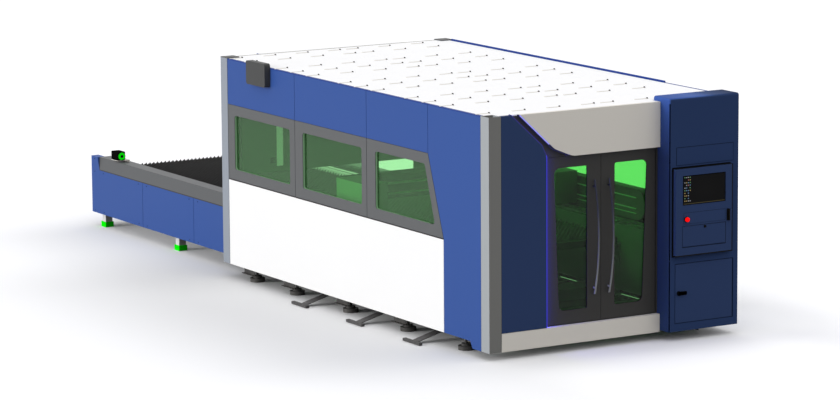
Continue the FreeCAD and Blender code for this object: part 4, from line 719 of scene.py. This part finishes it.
def icon_tree():
    """Small flat tiles in a grid that faces the operator, some left out, each with a tone of its own."""
    tree, given, result = geometry_tree("Screen Icons", (
        ("Middle", "Vector"), ("Width", "Float"), ("Height", "Float"), ("Columns", "Int"), ("Rows", "Int"),
        ("Tile", "Float"), ("Seed", "Int"), ("Finish", "Material")))
    grid = node(tree, "GeometryNodeMeshGrid", {"Size X": given["Width"], "Size Y": given["Height"],
                                               "Vertices X": given["Columns"],
                                               "Vertices Y": given["Rows"]}).outputs[0]
    dots = node(tree, "GeometryNodeMeshToPoints", {"Mesh": grid}).outputs[0]
    left_out = node(tree, "FunctionNodeRandomValue", {"Probability": 0.3, "Seed": given["Seed"]},
                    data_type="BOOLEAN").outputs[3]
    kept = node(tree, "GeometryNodeDeleteGeometry", {"Geometry": dots, "Selection": left_out},
                domain="POINT").outputs[0]
    size = combined(tree, {0: given["Tile"], 1: given["Tile"], 2: ICON_THICKNESS})
    tile = node(tree, "GeometryNodeMeshCube", {"Size": size}).outputs[0]
    tiles = node(tree, "GeometryNodeInstanceOnPoints", {"Points": kept, "Instance": tile}).outputs[0]
    seed = calculate(tree, "ADD", given["Seed"], 3.0)
    tone = node(tree, "FunctionNodeRandomValue", {"Seed": seed}, data_type="FLOAT").outputs[1]
    toned = node(tree, "GeometryNodeStoreNamedAttribute", {
        "Geometry": tiles, "Name": "icon_tone", "Value": tone}, data_type="FLOAT", domain="INSTANCE").outputs[0]
    real = node(tree, "GeometryNodeRealizeInstances", {"Geometry": toned}).outputs[0]
    upright = node(tree, "GeometryNodeTransform", {"Geometry": real, "Rotation": (math.pi / 2, 0.0, 0.0),
                                                   "Translation": given["Middle"]}).outputs[0]
    done = node(tree, "GeometryNodeSetMaterial", {"Geometry": upright, "Material": given["Finish"]}).outputs[0]
    tree.links.new(done, result[0])
    return tree


# ---------------------------------------------------------------- operators

# Roughness, gloss and change of tone of the coats
SATIN = {"roughness": 0.45, "gloss": 0.08}
POWDER = {"roughness": 0.45, "gloss": 0.25}
NAVY = {"roughness": 0.5, "gloss": 0.06}
PALE = {"roughness": 0.5, "gloss": 0.3, "tone": 0.02}
ENAMEL = {"roughness": 0.5, "gloss": 0.25, "tone": 0.1}
DULL_ENAMEL = {"roughness": 0.5, "gloss": 0.2, "tone": 0.1}

# Directions of the streaks of rolled and ground steel
SLAT_STREAKS = (40.0, 40.0, 6.0)
RAIL_STREAKS = (900.0, 12.0, 900.0)
GATE_STREAKS = (8.0, 700.0, 700.0)

PAINTED = {
    "side_blue": ("left_upper_panels", "left_front_panel", "right_upper_panels", "right_front_panel",
                  "gate_housing"),
    "table_blue": ("table_panels", "table_end_cover"),
    "front_navy": ("front_panel", "console_door"),
    "console_navy": ("console_cabinet",),
    "operator_navy": ("operator_panel",),
    "flap_navy": ("keyboard_flap",),
    "frame_gray": ("left_window_frames", "right_window_frames"),
    "guard_gray": ("table_guards",),
    "sign_gray": ("sign_box",),
    "rear_gray": ("rear_posts",),
    "post_gray": ("front_left_post",),
    "panel_white": ("left_lower_panel", "right_lower_panel"),
    "cover_white": ("gantry_covers", "carriage"),
    "roof_white": ("roof_panel",),
    "wall_white": ("rear_wall",),
    "visor_white": ("visor", "sill"),
    "door_black": ("door_frame", "front_door_left", "front_door_right"),
    "enamel": ("bed_frame", "bed_pallet_rails", "inner_pallet", "outer_pallet"),
    "frame_dark": ("cabin_frame",),
    "table_enamel": ("table_frame",),
    "beam_enamel": ("gantry_beam",),
    "duct_gray": ("chain_duct",),
    "foot_enamel": ("leveling_feet",),
    "drawer": ("scrap_drawer_1", "scrap_drawer_2", "scrap_drawer_3"),
    "rail_steel": ("y_rails",),
    "grip_painted_light": ("door_handle_left", "door_handle_right"),
    "gate_sheet": ("rear_gate", "cutting_head"),
    "side_glass": ("left_window_panes", "right_window_panes"),
    "door_glass": ("door_pane_left", "door_pane_right"),
    "screen": ("screen",),
    "strip": ("light_strip",),
    "plastic_black": ("keyboard", "safety_sensor", "console_latch"),
    "stop_red": ("emergency_stop",),
    "foot_green": ("table_feet",),
    "slat_steel": ("outer_pallet_slats",),
    "slat_bright": ("inner_pallet_slats",),
    "clip_steel": ("roof_clips",),
}


class LASER_OT_paint(bpy.types.Operator):
    """Makes every finish and puts it on the CAD nodes"""
    bl_idname = "laser.paint"
    bl_label = "Paint the Machine"

    def execute(self, context):
        colours = context.scene.laser_colours
        self.cabin(colours)
        self.console(colours)
        self.machinery(colours)
        self.fittings(colours)
        missing = set(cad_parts) - {name for names in PAINTED.values() for name in names}
        if missing:
            raise RuntimeError(f"no finish for {sorted(missing)}")
        for key, names in PAINTED.items():
            for name in names:
                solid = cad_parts[name]
                if not solid.material_slots:
                    solid.data.materials.append(finish(key))
                for place in solid.material_slots:
                    place.material = finish(key)
        return {"FINISHED"}

    def cabin(self, colours):
        black, white, shade = colours.plastic_black, colours.panel_white, colours.inner_shade
        right_inside = zone(x=(2000.0, 2641.2), z=(0.0, 1700.0))
        outer_skins = zone(x=(0.5, 34.0)) + zone(x=(2608.0, 2641.5))
        # the edges round the side windows' panes, painted green and glowing as painted light
        reveals = sum((zone(x, y, (1117.0, 1669.0)) for x in ((5.0, 36.0), (2606.0, 2637.0))
                       for y in ((1030.0, 2013.2), (2263.8, 3407.2), (3656.8, 4794.2))), ())
        wall_y = (5000.0, 5062.0)
        # Painted light: a white band on the rear wall that glows with light of its own
        wall_glow_band = zone((626.0, 701.0), wall_y, (1065.0, 1771.0))
        wall_notch = zone((552.0, 621.0), wall_y, (1098.0, 1158.0))
        FINISHES.update({
            "side_blue": coated("side_blue_coat", colours.side_blue, **SATIN, accents=(
                # the band along the upper edge is painted shade
                (colours.edge_shade_blue, zone(z=(2217.0, 2300.0))), (shade, right_inside),
                (white, zone(y=(5064.0, 5140.0), z=(2224.5, 2226.0))))),
            "table_blue": coated("table_blue_coat", colours.side_blue, **SATIN),
            "frame_gray": coated("frame_gray_coat", colours.frame_gray, **POWDER, accents=(
                # the window edges' green and their glow are painted light
                (black, outer_skins), (colours.reveal_glow_green, reveals)), lit=(reveals, 0.26)),
            "guard_gray": coated("guard_gray_coat", colours.guard_gray, **POWDER, accents=(
                # the dark band along the guards' lower edge is painted shade
                (colours.guard_edge_shade, zone(z=(600.0, 633.0))),)),
            "sign_gray": coated("sign_gray_coat", colours.sign_gray, 0.45, 0.2),
            "rear_gray": coated("rear_gray_coat", colours.rear_gray, **POWDER, accents=(
                (colours.cap_dark, zone(z=(2228.0, 2300.0))),)),
            # the front post's lighter left face and darker front are painted light and shade
            "post_gray": coated("post_gray_coat", colours.post_front_shaded, **POWDER, side=colours.post_side_lit),
            "panel_white": coated("panel_white_coat", white, **PALE, accents=(
                # the black band along the lower panels' upper edge is painted shade in the seam under the
                # window band
                (black, zone(z=(1004.5, 1012.0))), (shade, right_inside))),
            "roof_white": coated("roof_white_coat", white, **PALE, accents=(
                (colours.roof_rear, zone(y=(5026.0, 5064.0))),)),
            "wall_white": coated("wall_white_coat", white, **PALE, accents=(
                (colours.inside_gray, zone(y=wall_y)), (white, wall_glow_band), (black, wall_notch)),
                lit=(wall_glow_band, 0.20)),
            "visor_white": coated("visor_white_coat", colours.visor_white, 0.5, 0.3, 0.03),
            "door_black": coated("door_black_coat", colours.door_black, 0.5, 0.08),
            # the frame's near black is painted shade in the seams
            "frame_dark": coated("frame_dark_coat", colours.frame_dark, 0.5, 0.15, 0.1),
            "side_glass": safety_glass("side_glass_pane", colours.glass_green, 0.955, 1.2,
                                       (0.500, 0.800, 0.500)),
            "door_glass": safety_glass("door_glass_pane", colours.door_glass, 1.0, 1.22,
                                       (0.160, 0.220, 0.160)),
            "strip": light_bar("strip_diffuser", colours.strip_front, colours.strip_glow),
        })

    def console(self, colours):
        black, groove = colours.plastic_black, colours.groove_navy
        painted_lit_side, painted_lit_top = (0.040, 0.090, 0.320), (0.064, 0.128, 0.380)
        # Painted reflection and shade on the console's left faces: darker through the middle of its height,
        # lighter towards the top
        side = ("Z", ((92.0, (0.028, 0.052, 0.140)), (900.0, (0.026, 0.046, 0.130)),
                      (1700.0, (0.026, 0.046, 0.130)), (2260.0, painted_lit_side)))
        # Painted light on the hood's top band: lighter at its left and middle, darker towards the right
        hood_painted_light = ("X", ((1870.0, painted_lit_side), (2136.0, painted_lit_top), (2250.0, (0.055, 0.108, 0.312)),
                           (2365.0, (0.035, 0.068, 0.180)), (2594.0, (0.021, 0.037, 0.094))))
        front_y, rim_x, rim_z = (-200.0, -146.0), (1890.0, 2540.0), (790.0, 1630.0)
        module_rim = (zone((1890.0, 1896.0), (-162.0, -146.0), rim_z) + zone(rim_x, front_y, (1617.0, 1630.0))
                      + zone((2524.0, 2540.0), front_y, rim_z) + zone(rim_x, front_y, (790.0, 811.0)))
        pull = zone((2466.0, 2491.0), (-230.0, -196.9), (1092.0, 1204.0))
        stop_ring = zone((1986.0, 2042.0), (-204.0, -198.6), (1116.0, 1172.0))
        knob = zone((2210.0, 2236.0), (-215.0, -195.0), (1048.0, 1074.0))
        FINISHES.update({
            "front_navy": coated("front_navy_coat", colours.front_navy, **NAVY),
            # the console's left faces and the hood's top band carry painted light, reflection and shade
            "console_navy": coated("console_navy_coat", colours.front_navy, 0.5, 0.01, side=side, accents=(
                (groove, ring((1938.0, 2569.0), (1645.0, 1805.0), 6.0)),
                (groove, ring((1928.0, 2573.0), (172.0, 720.0), 7.0)),
                (black, ring((1895.0, 2535.0), (800.0, 1618.0), 9.0)), (hood_painted_light, zone(z=(2258.0, 2300.0))))),
            "operator_navy": coated("operator_navy_coat", colours.front_navy, **NAVY, accents=(
                (groove, ring((1974.0, 2453.0), (885.0, 1078.0), 6.0)),
                (groove, ring((1987.0, 2450.0), (1102.0, 1203.0), 3.0)),
                (black, module_rim + pull + stop_ring))),
            "flap_navy": coated("flap_navy_coat", colours.front_navy, **NAVY, accents=((black, knob),)),
            "screen": screen_glass("display_glass"),
            "icons": icon_light("display_icons"),
            "stop_red": painted_glow_plastic("stop_red_plastic", colours.stop_red, 0.7),
            # Painted light and shade on the door handles: light gray at their foot, darkening to blue-black
            # towards their top
            "grip_painted_light": coated("grip_painted_light", ("Z", (
                (560.0, (0.290, 0.300, 0.290)), (865.0, (0.150, 0.158, 0.160)),
                (1150.0, (0.075, 0.080, 0.090)), (1300.0, (0.030, 0.034, 0.050)))), 0.35, 0.2, 0.08),
        })

    def machinery(self, colours):
        white = colours.panel_white
        rods = zone(x=(-170.0, 479.0), z=(0.0, 131.0))
        # A white band on the gantry beam along the X rails: the rails' bright steel, with a painted highlight
        x_rails_and_highlight = zone((496.0, 2146.0), (3020.0, 3039.5), (1000.0, 1170.0))
        FINISHES.update({
            "cover_white": coated("cover_white_coat", colours.cover_gray, 0.5, 0.3, 0.04),
            "enamel": coated("enamel_coat", colours.enamel_gray, **ENAMEL),
            # the table frame's lighter left faces and darker other faces are painted light and shade
            "table_enamel": coated("table_enamel_coat", colours.table_enamel, **ENAMEL, side=colours.leg_side_lit),
            "beam_enamel": coated("beam_enamel_coat", colours.beam_enamel, **DULL_ENAMEL,
                                  accents=((white, x_rails_and_highlight),)),
            "duct_gray": coated("duct_gray_coat", colours.duct_gray, **DULL_ENAMEL, accents=(
                (white, zone(x=(2420.0, 2429.5))),)),
            "foot_enamel": coated("foot_enamel_coat", colours.foot_enamel, **DULL_ENAMEL, dust=0.3),
            "drawer": coated("drawer_coat", colours.drawer_gray, **ENAMEL, accents=((colours.rod_gray, rods),),
                             dust=0.2),
            "slat_steel": metal("slat_steel_sheet", colours.slat_steel, SLAT_STREAKS, 0.55, 0.7, 0.3),
            "slat_bright": metal("slat_bright_sheet", colours.slat_bright, SLAT_STREAKS, 0.55, 0.7, 0.3),
            "rail_steel": metal("rail_steel_bar", colours.bright_steel, RAIL_STREAKS, 0.28),
            "gate_sheet": metal("gate_sheet_metal", colours.bright_steel, GATE_STREAKS, 0.35),
        })

    def fittings(self, colours):
        FINISHES.update({
            "clip_steel": coated("clip_steel_coat", colours.clip_steel, **DULL_ENAMEL),
            "plastic_black": coated("plastic_black_grain", colours.plastic_black, 0.5, 0.0, 0.1, 0.15),
            # the feet's brighter left faces and darker other faces are painted light and shade
            "foot_green": coated("foot_green_plastic", colours.foot_front_shaded, 0.5, 0.0, 0.06, 0.1,
                                 side=colours.foot_green),
            "lens_green": painted_glow_plastic("lens_green_plastic", colours.foot_green, 0.2),
        })


class LASER_OT_slats(bpy.types.Operator):
    """Serrated slats on both pallets"""
    bl_idname = "laser.slats"
    bl_label = "Serrated Slats"

    def execute(self, context):
        sizes = context.scene.laser_slats
        tree = slat_tree()
        for body, steel in (("inner_pallet", "slat_bright"), ("outer_pallet", "slat_steel")):
            low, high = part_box(body + "_slats")
            run = high - low
            first = Vector(((low.x + high.x) / 2, low.y + sizes.thickness, (low.z + high.z) / 2))
            made = grow(body + "_toothed_slats", tree, {
                "Length": run.x, "Height": run.z, "Thickness": sizes.thickness,
                "Teeth": round(run.x / sizes.tooth_pitch), "Tooth Depth": sizes.tooth_depth,
                "Count": sizes.count, "First": first, "Spacing": (run.y - sizes.thickness) / (sizes.count - 1),
                "Steel": finish(steel)})
            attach(made, body)
            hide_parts(body + "_slats")
        return {"FINISHED"}


class LASER_OT_roof_clips(bpy.types.Operator):
    """Rows of clips over the whole roof"""
    bl_idname = "laser.roof_clips"
    bl_label = "Roof Clips"

    def execute(self, context):
        sizes = context.scene.laser_fittings
        points = [at(x, y, ROOF_TOP) for x in CLIP_COLUMNS for y in CLIP_ROWS]
        made = grow("roof_clip_rows", clip_tree(), {
            "Bar Length": sizes.clip_length, "Bar Width": sizes.clip_width, "Bar Height": CLIP_BAR_HEIGHT,
            "Head Radius": sizes.clip_head, "Head Height": CLIP_HEAD_HEIGHT,
            "Bar Finish": finish("clip_steel"), "Head Finish": finish("plastic_black")}, points)
        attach(made, "cabin")
        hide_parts("roof_clips")
        return {"FINISHED"}


class LASER_OT_screws(bpy.types.Operator):
    """Screws in the corners of the table's side panels"""
    bl_idname = "laser.screws"
    bl_label = "Panel Screws"

    def execute(self, context):
        sizes = context.scene.laser_fittings
        tree = screw_tree()
        right_side = 2 * CABIN_MIDDLE - TABLE_SIDE
        for side, x, turn in (("left", TABLE_SIDE, -math.pi / 2), ("right", right_side, math.pi / 2)):
            points = [at(x, y, z) for front, rear in TABLE_PANEL_ENDS
                      for y in (front + SCREW_INSET_Y, rear - SCREW_INSET_Y)
                      for z in (TABLE_PANEL_Z[0] + SCREW_INSET_Z, TABLE_PANEL_Z[1] - SCREW_INSET_Z)]
            points += [at(x, END_CORNER_MIDDLE, z) for z in END_CORNER_SCREWS]
            made = grow(f"table_screws_{side}", tree, {
                "Radius": sizes.screw_radius, "Height": SCREW_HEIGHT, "Turn": (0.0, turn, 0.0),
                "Finish": finish("front_navy")}, points)
            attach(made, "cabin")
        return {"FINISHED"}


PANEL_FACE_Y = -197.0
BEZEL_RIM, BEZEL_PROUD, BEZEL_SET_IN = 0.007, 0.0025, 0.001
ICON_COLUMNS, ICON_ROWS = 4, 10
ICONS_WIDTH, ICONS_LEFT, ICONS_UP, ICONS_MARGIN = 0.058, 0.045, 0.010, 0.040
EDGE = 0.001


class LASER_OT_screen(bpy.types.Operator):
    """Bezel and icons of the operator's screen, and the grip of the console door's latch"""
    bl_idname = "laser.screen"
    bl_label = "Operator Screen"

    def execute(self, context):
        sizes = context.scene.laser_fittings
        low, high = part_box("screen")
        self.icons(sizes, low, high)
        self.bezel(low, high)
        bm = bmesh.new()
        add_block(bm, *span((1945.0, 2044.0), (-169.3, -160.0), (432.0, 468.0)), 0.004, 0, 3)
        piece("latch_grip", bm, ("plastic_black",), "console_latch")
        return {"FINISHED"}

    def icons(self, sizes, low, high):
        middle = Vector((low.x + ICONS_LEFT, low.y, (low.z + high.z) / 2 + ICONS_UP))
        made = grow("screen_icons", icon_tree(), {
            "Middle": middle, "Width": ICONS_WIDTH, "Height": high.z - low.z - ICONS_MARGIN,
            "Columns": ICON_COLUMNS, "Rows": ICON_ROWS, "Tile": sizes.icon_size, "Seed": sizes.icon_seed,
            "Finish": finish("icons")})
        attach(made, "cabin")

    def bezel(self, low, high):
        bm = bmesh.new()
        rim = Vector((BEZEL_RIM, 0.0, BEZEL_RIM))
        outer_low, outer_high = low - rim, high + rim
        face = at(0.0, PANEL_FACE_Y, 0.0).y
        front, back = face - BEZEL_PROUD, face + BEZEL_SET_IN
        for left, right in ((outer_low.x, low.x), (high.x, outer_high.x)):
            add_block(bm, (left, front, outer_low.z), (right, back, outer_high.z), EDGE, 0, 1)
        for foot, head in ((outer_low.z, low.z), (high.z, outer_high.z)):
            add_block(bm, (low.x, front, foot), (high.x, back, head), EDGE, 0, 1)
        piece("screen_bezel", bm, ("plastic_black",), "cabin")


class LASER_OT_light_barrier(bpy.types.Operator):
    """Light barrier on the table's left guard: case, lens and bent bracket"""
    bl_idname = "laser.light_barrier"
    bl_label = "Light Barrier"

    CASE = ((212.0, 312.0), (7864.0, 8014.0), (785.0, 878.0))
    COVER_INSET = 6.0
    LENS_MIDDLE = (262.0, 831.0)
    # Start and end along the case's depth, radius, finish and end radius of each ring, outermost first
    LENS_RINGS = ((-8.0, 2.0, 0.044, 0, None), (-12.0, -6.0, 0.038, 1, 0.040), (-14.0, -11.0, 0.015, 0, 0.017))
    # The bracket's sheets, in x and z
    BRACKET = (((212.0, 363.0), (781.0, 785.0)), ((359.0, 363.0), (764.0, 783.0)),
               ((338.0, 363.0), (763.0, 767.0)))

    def execute(self, context):
        bm = bmesh.new()
        x, y, z = self.CASE
        inset = self.COVER_INSET
        add_block(bm, *span(x, (y[0] + 4.0, y[1]), z), 0.010, 0, 3)
        add_block(bm, *span((x[0] + inset, x[1] - inset), (y[0], y[0] + 8.0), (z[0] + inset, z[1] - inset)),
                  0.003, 0)
        middle_x, middle_z = self.LENS_MIDDLE
        for start, end, radius, slot, end_radius in self.LENS_RINGS:
            add_round(bm, at(middle_x, y[0] + start, middle_z), at(middle_x, y[0] + end, middle_z), radius,
                      slot, 32, end_radius)
        for sheet_x, sheet_z in self.BRACKET:
            add_block(bm, *span(sheet_x, y, sheet_z), EDGE, 2, 1)
        made = piece("light_barrier", bm, ("plastic_black", "lens_green", "visor_white"), "cabin")
        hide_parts("safety_sensor")
        return {"FINISHED"}


class LASER_OT_skirt(bpy.types.Operator):
    """Dark closing plate under the right lower panel, between the feet and the drawers"""
    bl_idname = "laser.skirt"
    bl_label = "Right Skirt"

    def execute(self, context):
        bm = bmesh.new()
        add_block(bm, *span((2396.0, 2402.0), (150.0, 4950.0), (4.0, 139.0)), EDGE, 0, 1)
        piece("right_skirt", bm, ("frame_dark",), "cabin")
        return {"FINISHED"}


class LASER_OT_stage(bpy.types.Operator):
    """Floor, soft light, plain surroundings and the camera"""
    bl_idname = "laser.stage"
    bl_label = "Stage and Camera"

    def execute(self, context):
        settings = context.scene.laser_stage
        self.floor(settings)
        self.surroundings(context, settings)
        self.sun(settings)
        self.camera(context)
        context.scene.view_settings.view_transform = "Standard"
        return {"FINISHED"}

    def floor(self, settings):
        half = settings.floor_half
        mesh = bpy.data.meshes.new("studio_floor")
        mesh.from_pydata([(-half, -half, 0.0), (half, -half, 0.0), (half, half, 0.0), (-half, half, 0.0)], [],
                         [(0, 1, 2, 3)])
        ground = bpy.data.objects.new("studio_floor", mesh)
        bpy.context.scene.collection.objects.link(ground)
        made, tree, shader, _, position = blank_material("studio_floor_paint")
        seen = self.seen(tree)
        clouds = noise(tree, position, 0.4)
        pale = mixed(tree, clouds, (0.975, 0.977, 0.980, 1.0), (0.985, 0.987, 0.990, 1.0))
        # Painted shadows darken the floor's colour round the machine, and painted light makes parts of it glow
        light = 1.0
        for x, y, reach, darkest in FLOOR_SHADES:
            light = calculate(tree, "MULTIPLY", light, self.shade(tree, position, x, y, reach, darkest))
        lift = 0.0
        for x, y, reach, most in FLOOR_LIGHTS:
            shade = self.shade(tree, position, x, y, reach, 1.0 - most)
            lift = calculate(tree, "ADD", lift, calculate(tree, "SUBTRACT", 1.0, shade))
        glow = reckon(tree, "SCALE", (1.0, 1.0, 1.0), Scale=calculate(tree, "MULTIPLY", lift, seen))
        bounce = rgba([settings.floor_bounce] * 3)
        fill(tree, shader, {"Base Color": mixed(tree, seen, bounce, reckon(tree, "SCALE", pale, Scale=light)),
                            "Emission Color": glow, "Emission Strength": 1.0, "Roughness": 0.9,
                            "Specular IOR Level": 0.0})
        mesh.materials.append(made)

    def shade(self, tree, position, x, y, reach, darkest):
        low, high = span(x, y, (0.0, 0.0))
        return use_group(tree, footprint_shade(), {
            "Position": position, "Middle": (low + high) / 2, "Half Size": (high - low) / 2, "Reach": reach,
            "Darkest": darkest})["Light"]

    def seen(self, tree):
        """1 for rays of the camera, of gloss and through glass."""
        rays = node(tree, "ShaderNodeLightPath").outputs
        return calculate(tree, "MAXIMUM", rays["Is Transmission Ray"],
                         calculate(tree, "MAXIMUM", rays["Is Camera Ray"], rays["Is Glossy Ray"]))

    def surroundings(self, context, settings):
        world = bpy.data.worlds.new("plain_surroundings")
        world.use_nodes = True
        tree = world.node_tree
        tree.nodes.clear()
        level = settings.sky_level
        dull = node(tree, "ShaderNodeBackground", {"Color": (level, level, level * 1.02, 1.0), "Strength": 1.0})
        white = node(tree, "ShaderNodeBackground", {"Color": (1.0, 1.0, 1.0, 1.0), "Strength": 1.0})
        sky = node(tree, "ShaderNodeMixShader", {0: self.seen(tree), 1: dull.outputs[0], 2: white.outputs[0]})
        node(tree, "ShaderNodeOutputWorld", {"Surface": sky.outputs[0]})
        context.scene.world = world

    def sun(self, settings):
        lamp = bpy.data.lights.new("soft_sun", "SUN")
        lamp.energy = settings.sun_strength
        lamp.angle = settings.sun_size
        lamp.color = (1.0, 0.995, 0.985)
        carrier = bpy.data.objects.new("soft_sun", lamp)
        bpy.context.scene.collection.objects.link(carrier)
        carrier.rotation_mode = "QUATERNION"
        carrier.rotation_quaternion = Vector(SUN_FROM).to_track_quat("Z", "Y")
        carrier.location = Vector(SUN_FROM) * 10.0

    def camera(self, context):
        yaw, pitch, roll = (math.radians(value) for value in (CAMERA_YAW, CAMERA_PITCH, CAMERA_ROLL))
        ahead = Vector((math.sin(yaw) * math.cos(pitch), math.cos(yaw) * math.cos(pitch), -math.sin(pitch)))
        level = Vector((math.cos(yaw), -math.sin(yaw), 0.0))
        upward = level.cross(ahead)
        right = level * math.cos(roll) + upward * math.sin(roll)
        upward = upward * math.cos(roll) - level * math.sin(roll)
        turn = Matrix((right, upward, -ahead)).transposed()
        eye = bpy.data.cameras.new("studio_camera")
        eye.lens = CAMERA_LENS
        eye.sensor_width = CAMERA_SENSOR
        eye.sensor_fit = "HORIZONTAL"
        eye.clip_start, eye.clip_end = CAMERA_CLIP
        carrier = bpy.data.objects.new("studio_camera", eye)
        context.scene.collection.objects.link(carrier)
        carrier.matrix_world = Matrix.Translation(CAMERA_PLACE) @ turn.to_4x4()
        context.scene.camera = carrier


class LASER_PT_panel(bpy.types.Panel):
    """The steps of the machine's looks, in order"""
    bl_idname = "LASER_PT_panel"
    bl_label = "Laser Cutter"
    bl_space_type = "VIEW_3D"
    bl_region_type = "UI"
    bl_category = "Laser Cutter"

    def draw(self, context):
        for operator in STEPS:
            self.layout.operator(operator.bl_idname)
        for holder in SETTINGS:
            box = self.layout.box()
            settings = getattr(context.scene, holder)
            for key in settings.__annotations__:
                box.prop(settings, key)


STEPS = (LASER_OT_stage, LASER_OT_paint, LASER_OT_slats, LASER_OT_roof_clips, LASER_OT_screws, LASER_OT_screen,
         LASER_OT_light_barrier, LASER_OT_skirt)
SETTINGS = {"laser_colours": MachineColours, "laser_slats": SlatSettings, "laser_fittings": FittingSettings,
            "laser_stage": StageSettings}


def register():
    for group in SETTINGS.values():
        bpy.utils.register_class(group)
    for step in STEPS:
        bpy.utils.register_class(step)
    bpy.utils.register_class(LASER_PT_panel)
    for holder, group in SETTINGS.items():
        setattr(bpy.types.Scene, holder, PointerProperty(type=group))


def unregister():
    for holder in SETTINGS:
        delattr(bpy.types.Scene, holder)
    bpy.utils.unregister_class(LASER_PT_panel)
    for step in reversed(STEPS):
        bpy.utils.unregister_class(step)
    for group in SETTINGS.values():
        bpy.utils.unregister_class(group)


def main():
    register()
    for step in STEPS:
        family, name = step.bl_idname.split(".")
        getattr(getattr(bpy.ops, family), name)()


if __name__ == "__main__":
    main()
